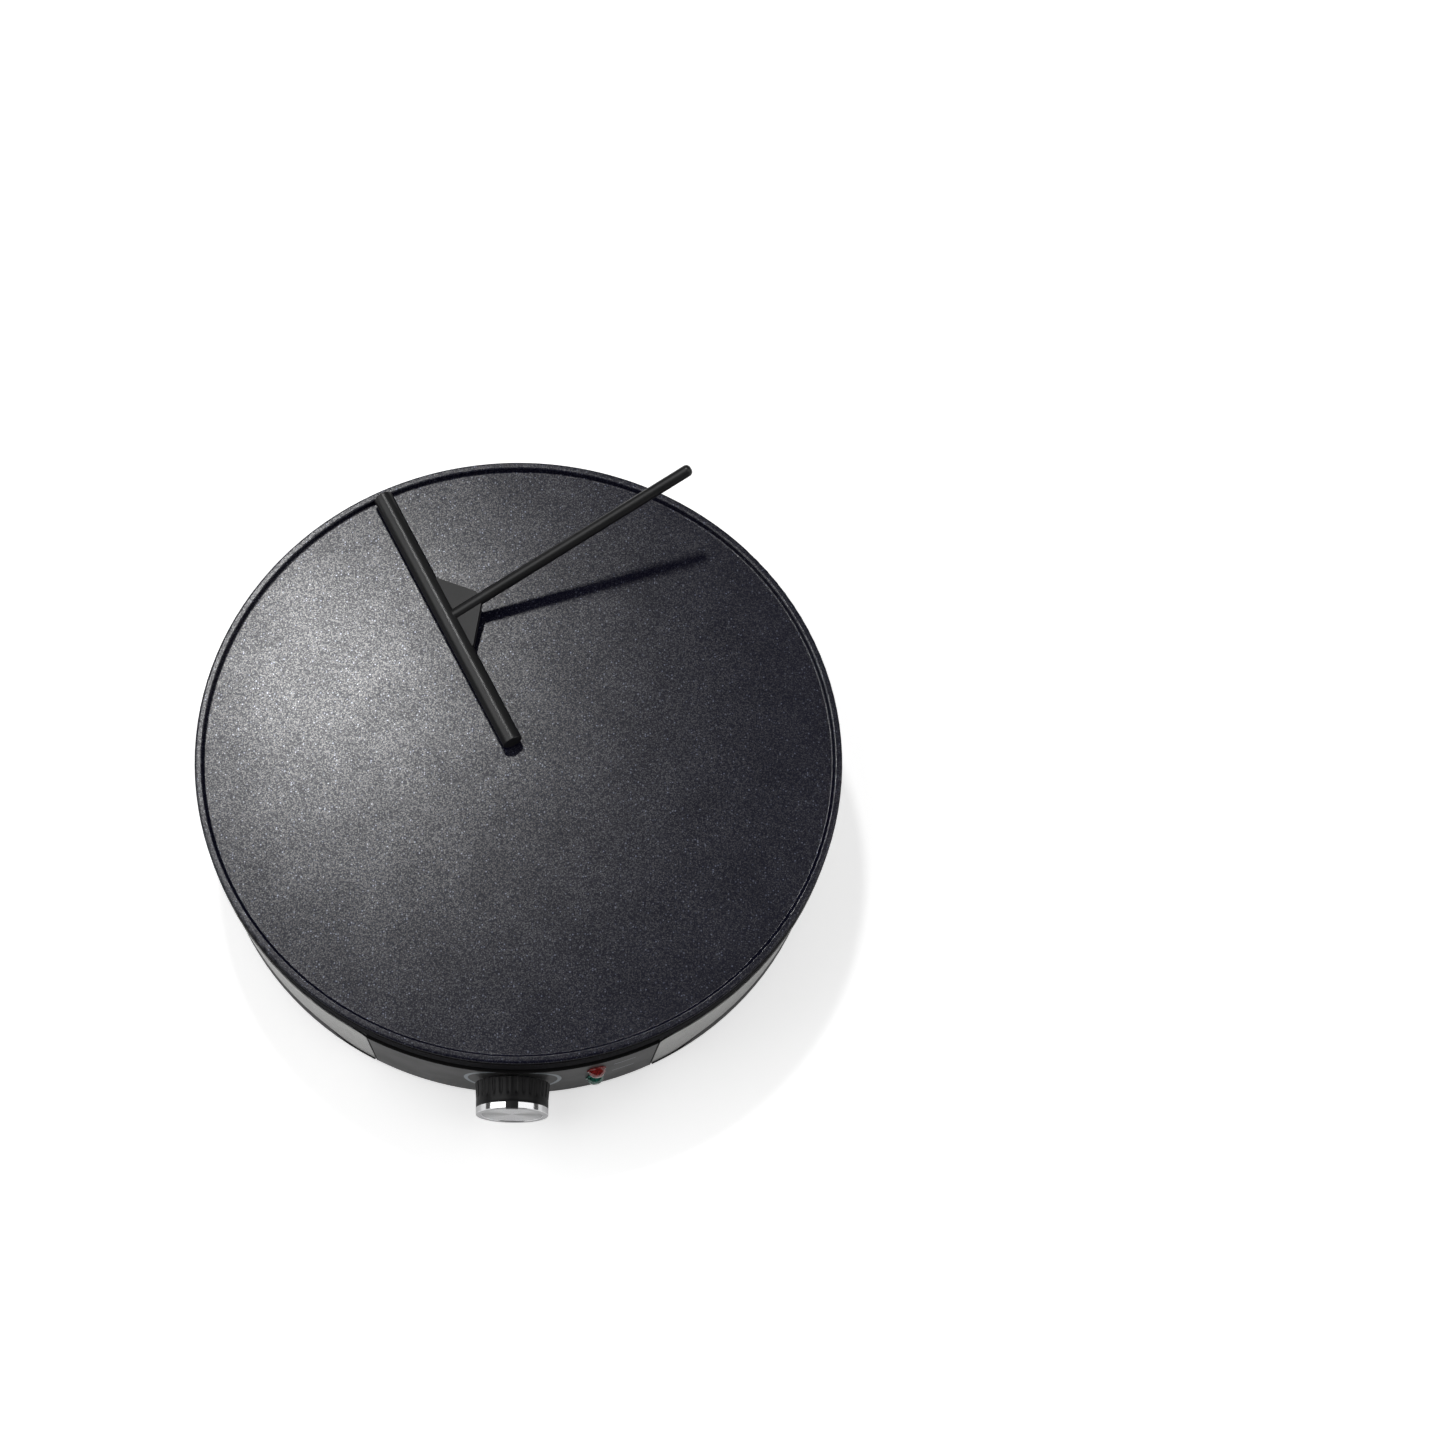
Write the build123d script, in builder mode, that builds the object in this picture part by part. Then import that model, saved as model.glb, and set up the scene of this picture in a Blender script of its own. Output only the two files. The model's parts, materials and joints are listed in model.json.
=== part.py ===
from build123d import *
import os
from math import cos, radians, sin, tan

# Round countertop electric crepe maker with a cast hot plate, a steel-banded housing,
# a thermostat knob, two pilot lamps and a T-shaped batter spreader.
# Frame: +Z up, -Y is the front with the knob, origin at the centre of the cooking surface.
os.makedirs("parts", exist_ok=True)

# ---------------------------------------------------------------- driving dimensions (mm)
# overall
plate_d = 370.0          # outside diameter of the hot plate
total_h = 88.0           # resting plane to the top of the rim
foot_h = 4.0             # rubber foot showing under the base

# clearances
fit = 0.15               # between fixed neighbours
slip = 0.05              # radial, between a fastener or shaft and its hole
lift_gap = 0.3           # under the spreader bar, where it lies on the plate

# hot plate
rim_h = 4.2              # rim above the cooking surface
rim_w = 4.8              # rim thickness
rim_round = 2.2          # round on top of the rim
rim_fillet = 1.4         # fillet at the inner foot of the rim
plate_t = 6.0            # thickness under the cooking surface
skirt_h = 15.0           # rim top to the lower edge of the skirt
skirt_t = 3.0
skirt_step = 0.4         # the lower band of the skirt is set in by this much
skirt_step_drop = 8.0    # from the rim top down to that band

# housing walls
wall_gap = 3.8           # shadow gap between the skirt and the top of the housing
wall_inset = 0.2         # steel band set in from the plate's edge, at its top
wall_lean = 4.5          # degrees, the walls close in downwards
base_h = 12.0            # black base showing under the steel band
shell_t = 3.0            # housing wall
floor_t = 2.5            # housing floor
band_t = 0.6             # stainless steel band
band_gap = 0.3           # between the band and the housing wall
corner_w = 8.0           # rounded upper corners of the band, beside the control panel
corner_h = 12.0
dip_start = 8.0          # the band's lower edge runs low this far beside the panel
dip_w = 25.0             # and then sweeps up over this width
dip_rise = 1.0           # band's low edge above the housing's lower edge

# control panel
panel_half_angle = 26.0  # degrees each side of the front
panel_t = 2.5
panel_proud = 0.7        # in front of the steel band
panel_lap = 4.8          # degrees that the panel overlaps the housing wall at each side
panel_edge_r = 0.7       # rounded edge of the panel
panel_foot_gap = 1.0     # panel's lower edge above the housing's lower edge
window_margin = 7.0      # housing wall left above and below the window behind the panel
window_depth = 24.0      # radial reach of the cut that makes the window
seam = 0.25              # degrees of gap between panel and band
panel_screw_rise = 13.0  # panel screws in from the top and bottom of the window
panel_screw_d = 3.0
panel_boss_d = 6.4
panel_screw_head_d = 8.0 # flanged head, wider than the boss

# knob, dial and thermostat
knob_drop = 24.8         # knob axis below the top of the wall, at the panel face
knob_tilt = 2.0          # degrees that the knob axis points down
knob_gap = 1.6           # back of the knob in front of the panel
knob_grip_l = 14.0       # fluted plastic part
knob_base_d = 41.8
knob_d = 40.4            # chrome ring and front end of the grip
knob_ring_t = 3.9        # chrome ring along the axis
knob_ring_w = 3.4        # chrome ring, radial
knob_flutes = 30
knob_flute_d = 2.2
knob_flute_depth = 0.55
knob_pointer_w = 7.0     # black pointer through the ring
knob_disc_t = 1.2        # spun metal disc
knob_disc_step = 0.5     # disc set back from the front of the ring
knob_hub_d = 12.0
knob_wall_t = 2.2
spindle_d = 6.0
spindle_flat = 1.5       # depth of the D flat
spindle_in = 12.0        # spindle inside the thermostat
spindle_hole_d = 13.0    # hole in the panel
knob_clip_w = 2.9        # spring strip between the spindle's flat and the hub
knob_clip_t = 0.5
bracket_t = 1.5
bracket_w = 46.0
bracket_setback = 12.0   # bracket behind the panel face
bracket_foot = 18.0
bracket_head = 17.0      # bracket above the spindle axis
thermostat_w = 34.0
thermostat_h = 30.0
thermostat_l = 24.0
thermostat_neck_d = 10.0
thermostat_neck_l = 4.0
tab_w = 6.3
tab_t = 0.8
tab_l = 8.0
tab_pitch = 18.0
thermostat_screw_pitch = 28.0
thermostat_screw_bite = 5.0

# pilot lamps
lamp_azimuth = 14.6      # degrees to the right of the front
lamp_pitch = 21.0        # between the two lamps, centred on the knob axis height
lens_d = 10.9
lens_flange_t = 0.8
lens_h = 5.0             # whole lens in front of the panel
lens_facets = 8
lens_table_d = 5.0       # flat front facet
lens_stem_d = 7.8
lens_stem_l = 6.0
lamp_holder_d = 11.0
lamp_holder_l = 18.0
lamp_holder_end = 1.5    # closed rear end of the holder
bulb_d = 5.2
bulb_l = 10.0
bulb_round = 1.3

# heating element
element_d = 8.0          # sheath
element_gap_angle = 15.0 # degrees each side of the front without element
element_bend_r = 11.0
element_leg = 8.0        # straight end below the bend
rib_side = 5.0           # cast rib each side of the groove
bead_l = 5.0             # ceramic bead
bead_d = 7.0
pin_d = 3.5
pin_l = 9.0
clamp_t = 1.2
clamp_w = 10.0
clamp_azimuths = (60, 120, 180, 240, 300)
clamp_screw_d = 3.0
clamp_screw_bite = 5.0
small_head_ratio = 1.9   # small screw heads, against their shanks
small_head_h = 1.8
element_margin = 12.0    # between the rib and the plate's screw bosses

# temperature sensing
sensor_d = 6.0
sensor_l = 70.0
sensor_start = 28.0      # inner end of the sensor, in front of the plate's centre
capillary_d = 2.0
capillary_bend_r = 8.0
saddle_t = 1.0
saddle_w = 10.0
saddle_tab = 8.0
fuse_d = 4.0
fuse_l = 14.0
fuse_x = 52.0
fuse_y = -38.0
fuse_lead_d = 1.0
fuse_lead_l = 8.0
clip_screw_d = 3.0
clip_screw_bite = 4.0

# heat shield and the screws that carry the plate
shield_t = 0.8
shield_margin = 8.0      # inside the skirt
shield_rise = 5.0        # turned-up edge
plate_boss_l = 11.8
plate_boss_d = 14.0
spacer_d = 10.0
plate_screw_d = 5.0
plate_screw_bite = 7.0   # thread length in the plate
screw_tip_gap = 1.0      # hole left past the screw's tip
plate_screw_head_d = 9.4
screw_head_h = 3.4
cross_w = 1.4            # cross slot in the screw heads
cross_depth = 1.6
shield_hole_gap = 2.0    # round what passes through the shield
floor_boss_d = 16.0
floor_boss_h = 14.0
head_recess = 8.0
head_side_gap = 0.6
pillar_margin = 6.0      # between foot and floor boss

# feet and bottom cover
foot_d = 22.0
foot_margin = 4.6        # from the base's edge
foot_stem_d = 8.0
foot_lip_d = 10.6
foot_lip_h = 2.4
foot_lip_taper = 12      # degrees
foot_round = 1.5
base_chamfer = 0.8
cover_t = 2.0
cover_margin = 5.0       # between the floor bosses and the cover
cover_ledge = 10.0
cover_screw_d = 3.0
cover_screw_l = 5.0
cover_screw_azimuths = (0, 60, 120, 180, 240, 300)
vent_w = 4.0
vent_l = 26.0
vent_rows = ((42.0, 12), (78.0, 20))    # radius and count

# supply side
gland_rise = 30.0        # inlet's axis above the resting plane
gland_d = 14.0
gland_bore_d = 7.5
gland_flange_d = 20.0
gland_flange_t = 3.0
gland_tail = 8.0
gland_lift = 0.4         # flange above the curved wall
block_w = 36.0
block_d = 16.0
block_h = 13.0
block_margin = 12.0      # between the gland and the terminal block
block_screw_pitch = 24.0
block_screw_seat = 4.5   # screw heads sit this high in the block
small_screw_d = 3.0      # self-tapping screws in the floor bosses
small_boss_d = 7.0
small_boss_h = 5.0
lead_d = 2.6
lead_bend_r = 6.0
lead_straight = 12.0     # straight run out of the terminal block and behind the tabs
lead_floor_gap = 3.0     # leads above the tops of the small floor bosses
lead_drop = 12.0         # leads hang this far below the element's pins
earth_margin = 15.0      # earth screw inside the element's rib
earth_screw_d = 4.0
earth_screw_l = 5.0

# batter spreader
bar_d = 11.6
bar_inner = 3.2          # from the plate's axis to the inner end of the bar
bar_rim_gap = 1.0        # from the outer end of the bar to the inside of the rim
bar_angle = 27.2         # degrees, bar turned from straight back towards the left
bar_side = -1.8          # bar's centre line beside the plate's axis
bar_edge_r = 0.8
rod_d = 7.0
rod_side = 1.3           # rod nearer than the bar's middle to the bar's inner end
rod_l = 166.0
rod_rise = 19.8          # degrees, rod above the plate
rod_socket = 3.6         # depth of the rod's hole in the bar
rod_end_r = 2.8
web_t = 3.0
web_foot = 0.5           # straight root of the web beside the bar
web_half = 24.2          # half width of the web at the bar
web_reach = 22.8         # from the bar's axis to the web's tip
web_tip = 3.6            # half width of the tip

# ---------------------------------------------------------------- derived places
plate_r = plate_d / 2
surface_z = 0.0
rim_z = surface_z + rim_h
rest_z = rim_z - total_h
under_z = surface_z - plate_t
skirt_z = rim_z - skirt_h
wall_top = skirt_z - wall_gap
base_z = rest_z + foot_h
band_z = base_z + base_h
floor_z = base_z + floor_t
panel_z = base_z + panel_foot_gap
shield_top = under_z - plate_boss_l
shield_z = shield_top - shield_t
knob_z = wall_top - knob_drop
gland_z = rest_z + gland_rise
shell_inset = band_t + band_gap
pocket_inset = panel_t - panel_proud + fit
wall_cut = shell_inset + 4 * shell_t    # length of the cuts that go right through a wall


def wall_r(z, out=0.0):
    """Radius of the steel band's outer face at height z, plus out."""
    return plate_r - wall_inset - (wall_top - z) * tan(radians(wall_lean)) + out


def spot(azimuth, radius, z):
    """Point at an azimuth counted from the front towards the right."""
    return Vector(radius * sin(radians(azimuth)), -radius * cos(radians(azimuth)), z)


def ring(radius, azimuths):
    """Places on a circle round the plate's axis, each turned to face outwards."""
    return [Location(spot(a, radius, 0), (0, 0, a - 90)) for a in azimuths]


def half_plane(azimuth):
    """Upright plane through the plate's axis: local x is outwards, local y is up."""
    a = radians(azimuth)
    return Plane(origin=(0, 0, 0), x_dir=(sin(a), -cos(a), 0), z_dir=(-cos(a), -sin(a), 0))


def wall_plane(azimuth, z, out=0.0, lean=wall_lean):
    """Plane on the wall: local x runs along the wall, local z points outwards."""
    a, b = radians(azimuth), radians(lean)
    normal = Vector(sin(a) * cos(b), -cos(a) * cos(b), -sin(b))
    return Plane(origin=spot(azimuth, wall_r(z), z) + normal * out,
                 x_dir=(cos(a), sin(a), 0), z_dir=normal)


base_r = wall_r(band_z)
foot_ring_r = base_r - foot_margin - foot_d / 2
pillar_ring_r = foot_ring_r - foot_d / 2 - pillar_margin - floor_boss_d / 2
cover_r = pillar_ring_r - floor_boss_d / 2 - cover_margin
groove_w = element_d + 2 * fit
rib_half = groove_w / 2 + rib_side
element_r = pillar_ring_r - plate_boss_d / 2 - element_margin - rib_half
rib_h = element_d + fit
element_z = under_z - fit - element_d / 2
window_low = floor_z + window_margin
window_high = wall_top - window_margin
panel_screw_azimuth = panel_half_angle - panel_lap / 2
panel_screw_heights = (window_low + panel_screw_rise, window_high - panel_screw_rise)
pillar_angles = (45, 135, 225, 315)
foot_names = {45: "foot_front_right", 135: "foot_rear_right",
              225: "foot_rear_left", 315: "foot_front_left"}
knob_plane = wall_plane(0, knob_z, out=panel_proud, lean=knob_tilt)
clamp_screw_offset = groove_w / 2 + rib_side / 2
ledge_z = base_z + cover_t + fit
earth_y = element_r - rib_half - earth_margin
cover_screw_r = cover_r - cover_ledge / 2
lamp_heights = {"red": knob_z + lamp_pitch / 2, "green": knob_z - lamp_pitch / 2}
bracket_plane = knob_plane.offset(-bracket_setback)


def clip_tab_offset(tube_r):
    """From a clipped tube's axis to the screw in the clip's tab."""
    return tube_r + fit + saddle_t + saddle_tab / 2


clips = {"sensor_clip": (0.0, -sensor_start - sensor_l / 2, sensor_d / 2),
         "fuse_clip": (fuse_x, fuse_y, fuse_d / 2)}
clip_screw_points = [(x + side * clip_tab_offset(r), y) for x, y, r in clips.values() for side in (-1, 1)]
block_y = wall_r(floor_z, -shell_inset - shell_t) - gland_tail - block_margin - block_d / 2
block_screw_points = [(side * block_screw_pitch / 2, block_y) for side in (-1, 1)]
bracket_foot_y = (bracket_plane.origin.Y + (knob_z - floor_z) * tan(radians(knob_tilt)) + bracket_t
                  + bracket_foot / 2)
bracket_screw_points = [(side * bracket_w / 4, bracket_foot_y) for side in (-1, 1)]

# ---------------------------------------------------------------- hot plate
# Cast aluminium with a rounded rim and a skirt; ribs below hold the element, four bosses
# take the screws that pull the plate down on the housing.
lower_r = plate_r - skirt_step
flat_r = plate_r - rim_w
with BuildPart() as hot_plate:
    with BuildSketch(Plane.XZ) as section:
        with BuildLine():
            Line((0, surface_z), (flat_r - rim_fillet, surface_z))
            RadiusArc((flat_r - rim_fillet, surface_z), (flat_r, surface_z + rim_fillet), -rim_fillet)
            Line((flat_r, surface_z + rim_fillet), (plate_r - 2 * rim_round, rim_z - rim_round))
            ThreePointArc((plate_r - 2 * rim_round, rim_z - rim_round), (plate_r - rim_round, rim_z),
                          (plate_r, rim_z - rim_round))
            Polyline((plate_r, rim_z - rim_round), (plate_r, rim_z - skirt_step_drop),
                     (lower_r, rim_z - skirt_step_drop - skirt_step), (lower_r, skirt_z),
                     (lower_r - skirt_t, skirt_z), (lower_r - skirt_t, under_z), (0, under_z),
                     (0, surface_z))
        make_face()
    revolve(axis=Axis.Z)
    # rib with the element's groove, open at the front
    with BuildSketch(half_plane(element_gap_angle)):
        with Locations((element_r, under_z - rib_h / 2)):
            Rectangle(2 * rib_half, rib_h)
    revolve(axis=Axis.Z, revolution_arc=360 - 2 * element_gap_angle)
    with BuildSketch(half_plane(element_gap_angle)):
        with Locations((element_r, under_z - rib_h)):
            Rectangle(groove_w, rib_h, align=(Align.CENTER, Align.MIN))
    revolve(axis=Axis.Z, revolution_arc=360 - 2 * element_gap_angle, mode=Mode.SUBTRACT)
    # screw bosses
    with BuildSketch(Plane.XY.offset(shield_top)):
        with Locations(*ring(pillar_ring_r, pillar_angles)):
            Circle(plate_boss_d / 2)
    extrude(until=Until.NEXT)
    with BuildSketch(Plane.XY.offset(shield_top)):
        with Locations(*ring(pillar_ring_r, pillar_angles)):
            Circle(plate_screw_d / 2 + slip)
    extrude(amount=plate_screw_bite + screw_tip_gap, mode=Mode.SUBTRACT)
    # threaded holes for the element clamps and the clips
    with BuildSketch(Plane.XY.offset(under_z - rib_h)):
        for offset in (-clamp_screw_offset, clamp_screw_offset):
            with Locations(*ring(element_r + offset, clamp_azimuths)):
                Circle(clamp_screw_d / 2 + slip)
    extrude(amount=clamp_screw_bite + slip, mode=Mode.SUBTRACT)
    with BuildSketch(Plane.XY.offset(under_z)):
        with Locations(*clip_screw_points):
            Circle(clip_screw_d / 2 + slip)
    extrude(amount=clip_screw_bite + slip, mode=Mode.SUBTRACT)
hot_plate.part.label = "hot_plate"
export_step(hot_plate.part, "parts/hot_plate.step")

# ---------------------------------------------------------------- heating element
# Steel-sheathed tubular element bent to a ring, its two ends turned down through the shield.
end_r = spot(element_gap_angle, element_r, element_z)
end_l = spot(-element_gap_angle, element_r, element_z)
toward_front = Vector(-cos(radians(element_gap_angle)), -sin(radians(element_gap_angle)), 0)
bend_drop = Vector(0, 0, -element_bend_r)
half_bend = Vector(0, 0, -element_bend_r * (1 - cos(radians(45))))


def mirror_x(v):
    """The same point on the left side."""
    return Vector(-v.X, v.Y, v.Z)


bend_mid = end_r + toward_front * element_bend_r * sin(radians(45)) + half_bend
bend_low = end_r + toward_front * element_bend_r + bend_drop
leg_low = bend_low - Vector(0, 0, element_leg)
with BuildPart() as heating_element:
    with BuildLine() as element_path:
        Line(leg_low, bend_low)
        ThreePointArc(bend_low, bend_mid, end_r)
        ThreePointArc(end_r, (0, element_r, element_z), end_l)
        ThreePointArc(end_l, mirror_x(bend_mid), mirror_x(bend_low))
        Line(mirror_x(bend_low), mirror_x(leg_low))
    with BuildSketch(Plane(origin=leg_low, z_dir=(0, 0, 1))):
        Circle(element_d / 2)
    sweep(path=element_path.wires()[0])
heating_element.part.label = "heating_element"
export_step(heating_element.part, "parts/heating_element.step")

# Ceramic beads that close the sheath, and the cold pins that stick out of them.
leg_points = (leg_low, mirror_x(leg_low))
bead_z = leg_low.Z - bead_l
with BuildPart() as element_beads:
    with BuildSketch(Plane.XY.offset(bead_z)):
        with Locations(*[(p.X, p.Y) for p in leg_points]):
            Circle(bead_d / 2)
            Circle(pin_d / 2 + slip, mode=Mode.SUBTRACT)
    extrude(amount=bead_l)
element_beads.part.label = "element_beads"
export_step(element_beads.part, "parts/element_beads.step")

with BuildPart() as element_pins:
    with BuildSketch(Plane.XY.offset(bead_z - pin_l)):
        with Locations(*[(p.X, p.Y) for p in leg_points]):
            Circle(pin_d / 2)
    extrude(amount=pin_l + bead_l)
element_pins.part.label = "element_pins"
export_step(element_pins.part, "parts/element_pins.step")

# Straps across the ribs that hold the element up in its groove.
clamp_z = under_z - rib_h - clamp_t
with BuildPart() as element_clamps:
    with BuildSketch(Plane.XY.offset(clamp_z)):
        with Locations(*ring(element_r, clamp_azimuths)):
            Rectangle(2 * rib_half, clamp_w)
            for offset in (-clamp_screw_offset, clamp_screw_offset):
                with Locations((offset, 0)):
                    Circle(clamp_screw_d / 2 + fit, mode=Mode.SUBTRACT)
    extrude(amount=clamp_t)
element_clamps.part.label = "element_clamps"
export_step(element_clamps.part, "parts/element_clamps.step")

with BuildPart() as clamp_screws:
    for offset in (-clamp_screw_offset, clamp_screw_offset):
        with BuildSketch(Plane.XY.offset(clamp_z)):
            with Locations(*ring(element_r + offset, clamp_azimuths)):
                Circle(clamp_screw_d / 2)
        extrude(amount=clamp_t + clamp_screw_bite)
        with BuildSketch(Plane.XY.offset(clamp_z)):
            with Locations(*ring(element_r + offset, clamp_azimuths)):
                Circle(clamp_screw_d * small_head_ratio / 2)
        extrude(amount=-small_head_h)
clamp_screws.part.label = "clamp_screws"
export_step(clamp_screws.part, "parts/clamp_screws.step")

# ---------------------------------------------------------------- temperature sensing
# Liquid-filled sensor under the plate; its capillary passes between the element's ends and
# drops through the shield to the thermostat.
capillary_entry = knob_plane.from_local_coords(
    (0, thermostat_h / 2, -(bracket_setback + bracket_t + thermostat_l / 2)))
sensor_z = under_z - fit - sensor_d / 2
sensor_end = sensor_start + sensor_l
capillary_y = capillary_entry.Y
with BuildPart() as sensor:
    with BuildSketch(Plane.XZ.offset(sensor_start)):
        with Locations((0, sensor_z)):
            Circle(sensor_d / 2)
    extrude(amount=sensor_l)
    with BuildLine() as capillary_path:
        FilletPolyline((0, -sensor_end, sensor_z), (0, capillary_y, sensor_z),
                       (0, capillary_y, capillary_entry.Z + fit), radius=capillary_bend_r)
    with BuildSketch(Plane(origin=(0, -sensor_end, sensor_z), z_dir=(0, -1, 0))):
        Circle(capillary_d / 2)
    sweep(path=capillary_path.wires()[0])
sensor.part.label = "sensor"
export_step(sensor.part, "parts/sensor.step")

# Thermal fuse with its two stiff ends, lying under the plate.
fuse_z = under_z - fit - fuse_d / 2
fuse_end = fuse_l / 2 + fuse_lead_l
fuse_front_y = fuse_y - fuse_end - lead_bend_r - lead_d
fuse_rear_y = fuse_y + fuse_end + lead_bend_r + lead_d
with BuildPart() as thermal_fuse:
    with BuildSketch(Plane.XZ.offset(-fuse_y - fuse_l / 2)):
        with Locations((fuse_x, fuse_z)):
            Circle(fuse_d / 2)
    extrude(amount=fuse_l)
    with BuildSketch(Plane.XZ.offset(-fuse_y - fuse_l / 2 - fuse_lead_l)):
        with Locations((fuse_x, fuse_z)):
            Circle(fuse_lead_d / 2)
    extrude(amount=fuse_l + 2 * fuse_lead_l)
thermal_fuse.part.label = "thermal_fuse"
export_step(thermal_fuse.part, "parts/thermal_fuse.step")

# Saddle clips screwed under the plate over the sensor and the fuse.
for label, (clip_x, clip_y, clip_r) in clips.items():
    arch_r = clip_r + fit
    centre_z = under_z - fit - clip_r
    with BuildPart() as clip:
        with BuildSketch(Plane.XZ.offset(-clip_y - saddle_w / 2)):
            with Locations((clip_x, centre_z)):
                Circle(arch_r + saddle_t)
            with Locations((clip_x, under_z)):
                Rectangle(2 * (arch_r + saddle_t + saddle_tab), saddle_t, align=(Align.CENTER, Align.MAX))
            with Locations((clip_x, centre_z)):
                Circle(arch_r, mode=Mode.SUBTRACT)
                Rectangle(2 * arch_r, clip_r + 2 * fit, align=(Align.CENTER, Align.MIN), mode=Mode.SUBTRACT)
            with Locations((clip_x, under_z)):
                Rectangle(4 * arch_r, 2 * arch_r, align=(Align.CENTER, Align.MIN), mode=Mode.SUBTRACT)
        extrude(amount=saddle_w)
        with BuildSketch(Plane.XY.offset(under_z)):
            for side in (-1, 1):
                with Locations((clip_x + side * clip_tab_offset(clip_r), clip_y)):
                    Circle(clip_screw_d / 2 + fit)
        extrude(amount=-2 * saddle_t, mode=Mode.SUBTRACT)
    clip.part.label = label
    export_step(clip.part, f"parts/{label}.step")

with BuildPart() as clip_screws:
    with BuildSketch(Plane.XY.offset(under_z - saddle_t)):
        with Locations(*clip_screw_points):
            Circle(clip_screw_d / 2)
    extrude(amount=saddle_t + clip_screw_bite)
    with BuildSketch(Plane.XY.offset(under_z - saddle_t)):
        with Locations(*clip_screw_points):
            Circle(clip_screw_d * small_head_ratio / 2)
    extrude(amount=-small_head_h)
clip_screws.part.label = "clip_screws"
export_step(clip_screws.part, "parts/clip_screws.step")

# ---------------------------------------------------------------- heat shield
# Pressed aluminised sheet between the plate and the wiring, with a turned-up edge.
shield_r = lower_r - skirt_t - shield_margin
with BuildPart() as heat_shield:
    with BuildSketch(Plane.XZ):
        with BuildLine():
            Polyline((0, shield_z), (shield_r, shield_z), (shield_r, shield_top + shield_rise),
                     (shield_r - shield_t, shield_top + shield_rise), (shield_r - shield_t, shield_top),
                     (0, shield_top), (0, shield_z))
        make_face()
    revolve(axis=Axis.Z)
    with BuildSketch(Plane.XY.offset(shield_z)):
        with Locations(*ring(pillar_ring_r, pillar_angles)):
            Circle(plate_screw_d / 2 + fit)
        with Locations(*[(p.X, p.Y) for p in leg_points]):
            Circle(element_d / 2 + shield_hole_gap)
        with Locations((0, capillary_y)):
            Circle(capillary_d / 2 + shield_hole_gap)
        with Locations((fuse_x, fuse_front_y), (fuse_x, fuse_rear_y)):
            Circle(lead_d / 2 + shield_hole_gap)
        with Locations((0, earth_y)):
            Circle(earth_screw_d / 2 + slip)
    extrude(amount=shield_t, mode=Mode.SUBTRACT)
heat_shield.part.label = "heat_shield"
export_step(heat_shield.part, "parts/heat_shield.step")

# Tubular steel spacers between the floor bosses and the shield.
boss_top = base_z + floor_boss_h
with BuildPart() as plate_spacers:
    with BuildSketch(Plane.XY.offset(boss_top)):
        with Locations(*ring(pillar_ring_r, pillar_angles)):
            Circle(spacer_d / 2)
            Circle(plate_screw_d / 2 + fit, mode=Mode.SUBTRACT)
    extrude(amount=shield_z - boss_top)
plate_spacers.part.label = "plate_spacers"
export_step(plate_spacers.part, "parts/plate_spacers.step")

# Long machine screws from below that pull the plate down on its spacers.
head_z = base_z + head_recess
with BuildPart() as plate_screws:
    with BuildSketch(Plane.XY.offset(head_z)):
        with Locations(*ring(pillar_ring_r, pillar_angles)):
            Circle(plate_screw_d / 2)
    extrude(amount=shield_top + plate_screw_bite - head_z)
    with BuildSketch(Plane.XY.offset(head_z - screw_head_h)):
        with Locations(*ring(pillar_ring_r, pillar_angles)):
            Circle(plate_screw_head_d / 2)
    extrude(amount=screw_head_h)
    with BuildSketch(Plane.XY.offset(head_z - screw_head_h)):
        with Locations(*ring(pillar_ring_r, pillar_angles)):
            Rectangle(plate_screw_head_d, cross_w)
            Rectangle(cross_w, plate_screw_head_d)
    extrude(amount=cross_depth, mode=Mode.SUBTRACT)
plate_screws.part.label = "plate_screws"
export_step(plate_screws.part, "parts/plate_screws.step")

# ---------------------------------------------------------------- housing shell
# Black moulded tub: leaning wall, floor ring, screw bosses, a joggled ledge for the bottom
# cover, and a proud base ring that the steel band sits on.
seam_x = wall_r(wall_top) * sin(radians(panel_half_angle))
dip_x = seam_x + dip_start
low_z = base_z + dip_rise


def front_block(gap, above):
    """Front half of space above or below the band's lower edge, which dips beside the panel."""
    edge = plate_r + dip_w
    limit = rim_z if above else rest_z - foot_h
    with BuildPart() as block:
        with BuildSketch(Plane.XZ):
            with BuildLine():
                Polyline((0, limit), (0, low_z - gap), (dip_x, low_z - gap))
                Bezier((dip_x, low_z - gap), (dip_x + dip_w / 2, low_z - gap),
                       (dip_x + dip_w / 2, band_z - gap), (dip_x + dip_w, band_z - gap))
                Polyline((dip_x + dip_w, band_z - gap), (edge, band_z - gap), (edge, limit), (0, limit))
            make_face()
            mirror(about=Plane.YZ)
        extrude(amount=plate_d)
    return block.part


with BuildPart() as base_ring:
    with BuildSketch(Plane.XZ):
        with BuildLine():
            Polyline((wall_r(base_z, -shell_inset - floor_t), base_z), (base_r - base_chamfer, base_z),
                     (base_r, base_z + base_chamfer), (base_r, band_z - fit),
                     (wall_r(band_z, -shell_inset - floor_t), band_z - fit),
                     (wall_r(base_z, -shell_inset - floor_t), base_z))
        make_face()
    revolve(axis=Axis.Z)
    add(front_block(fit, above=True), mode=Mode.SUBTRACT)

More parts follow.
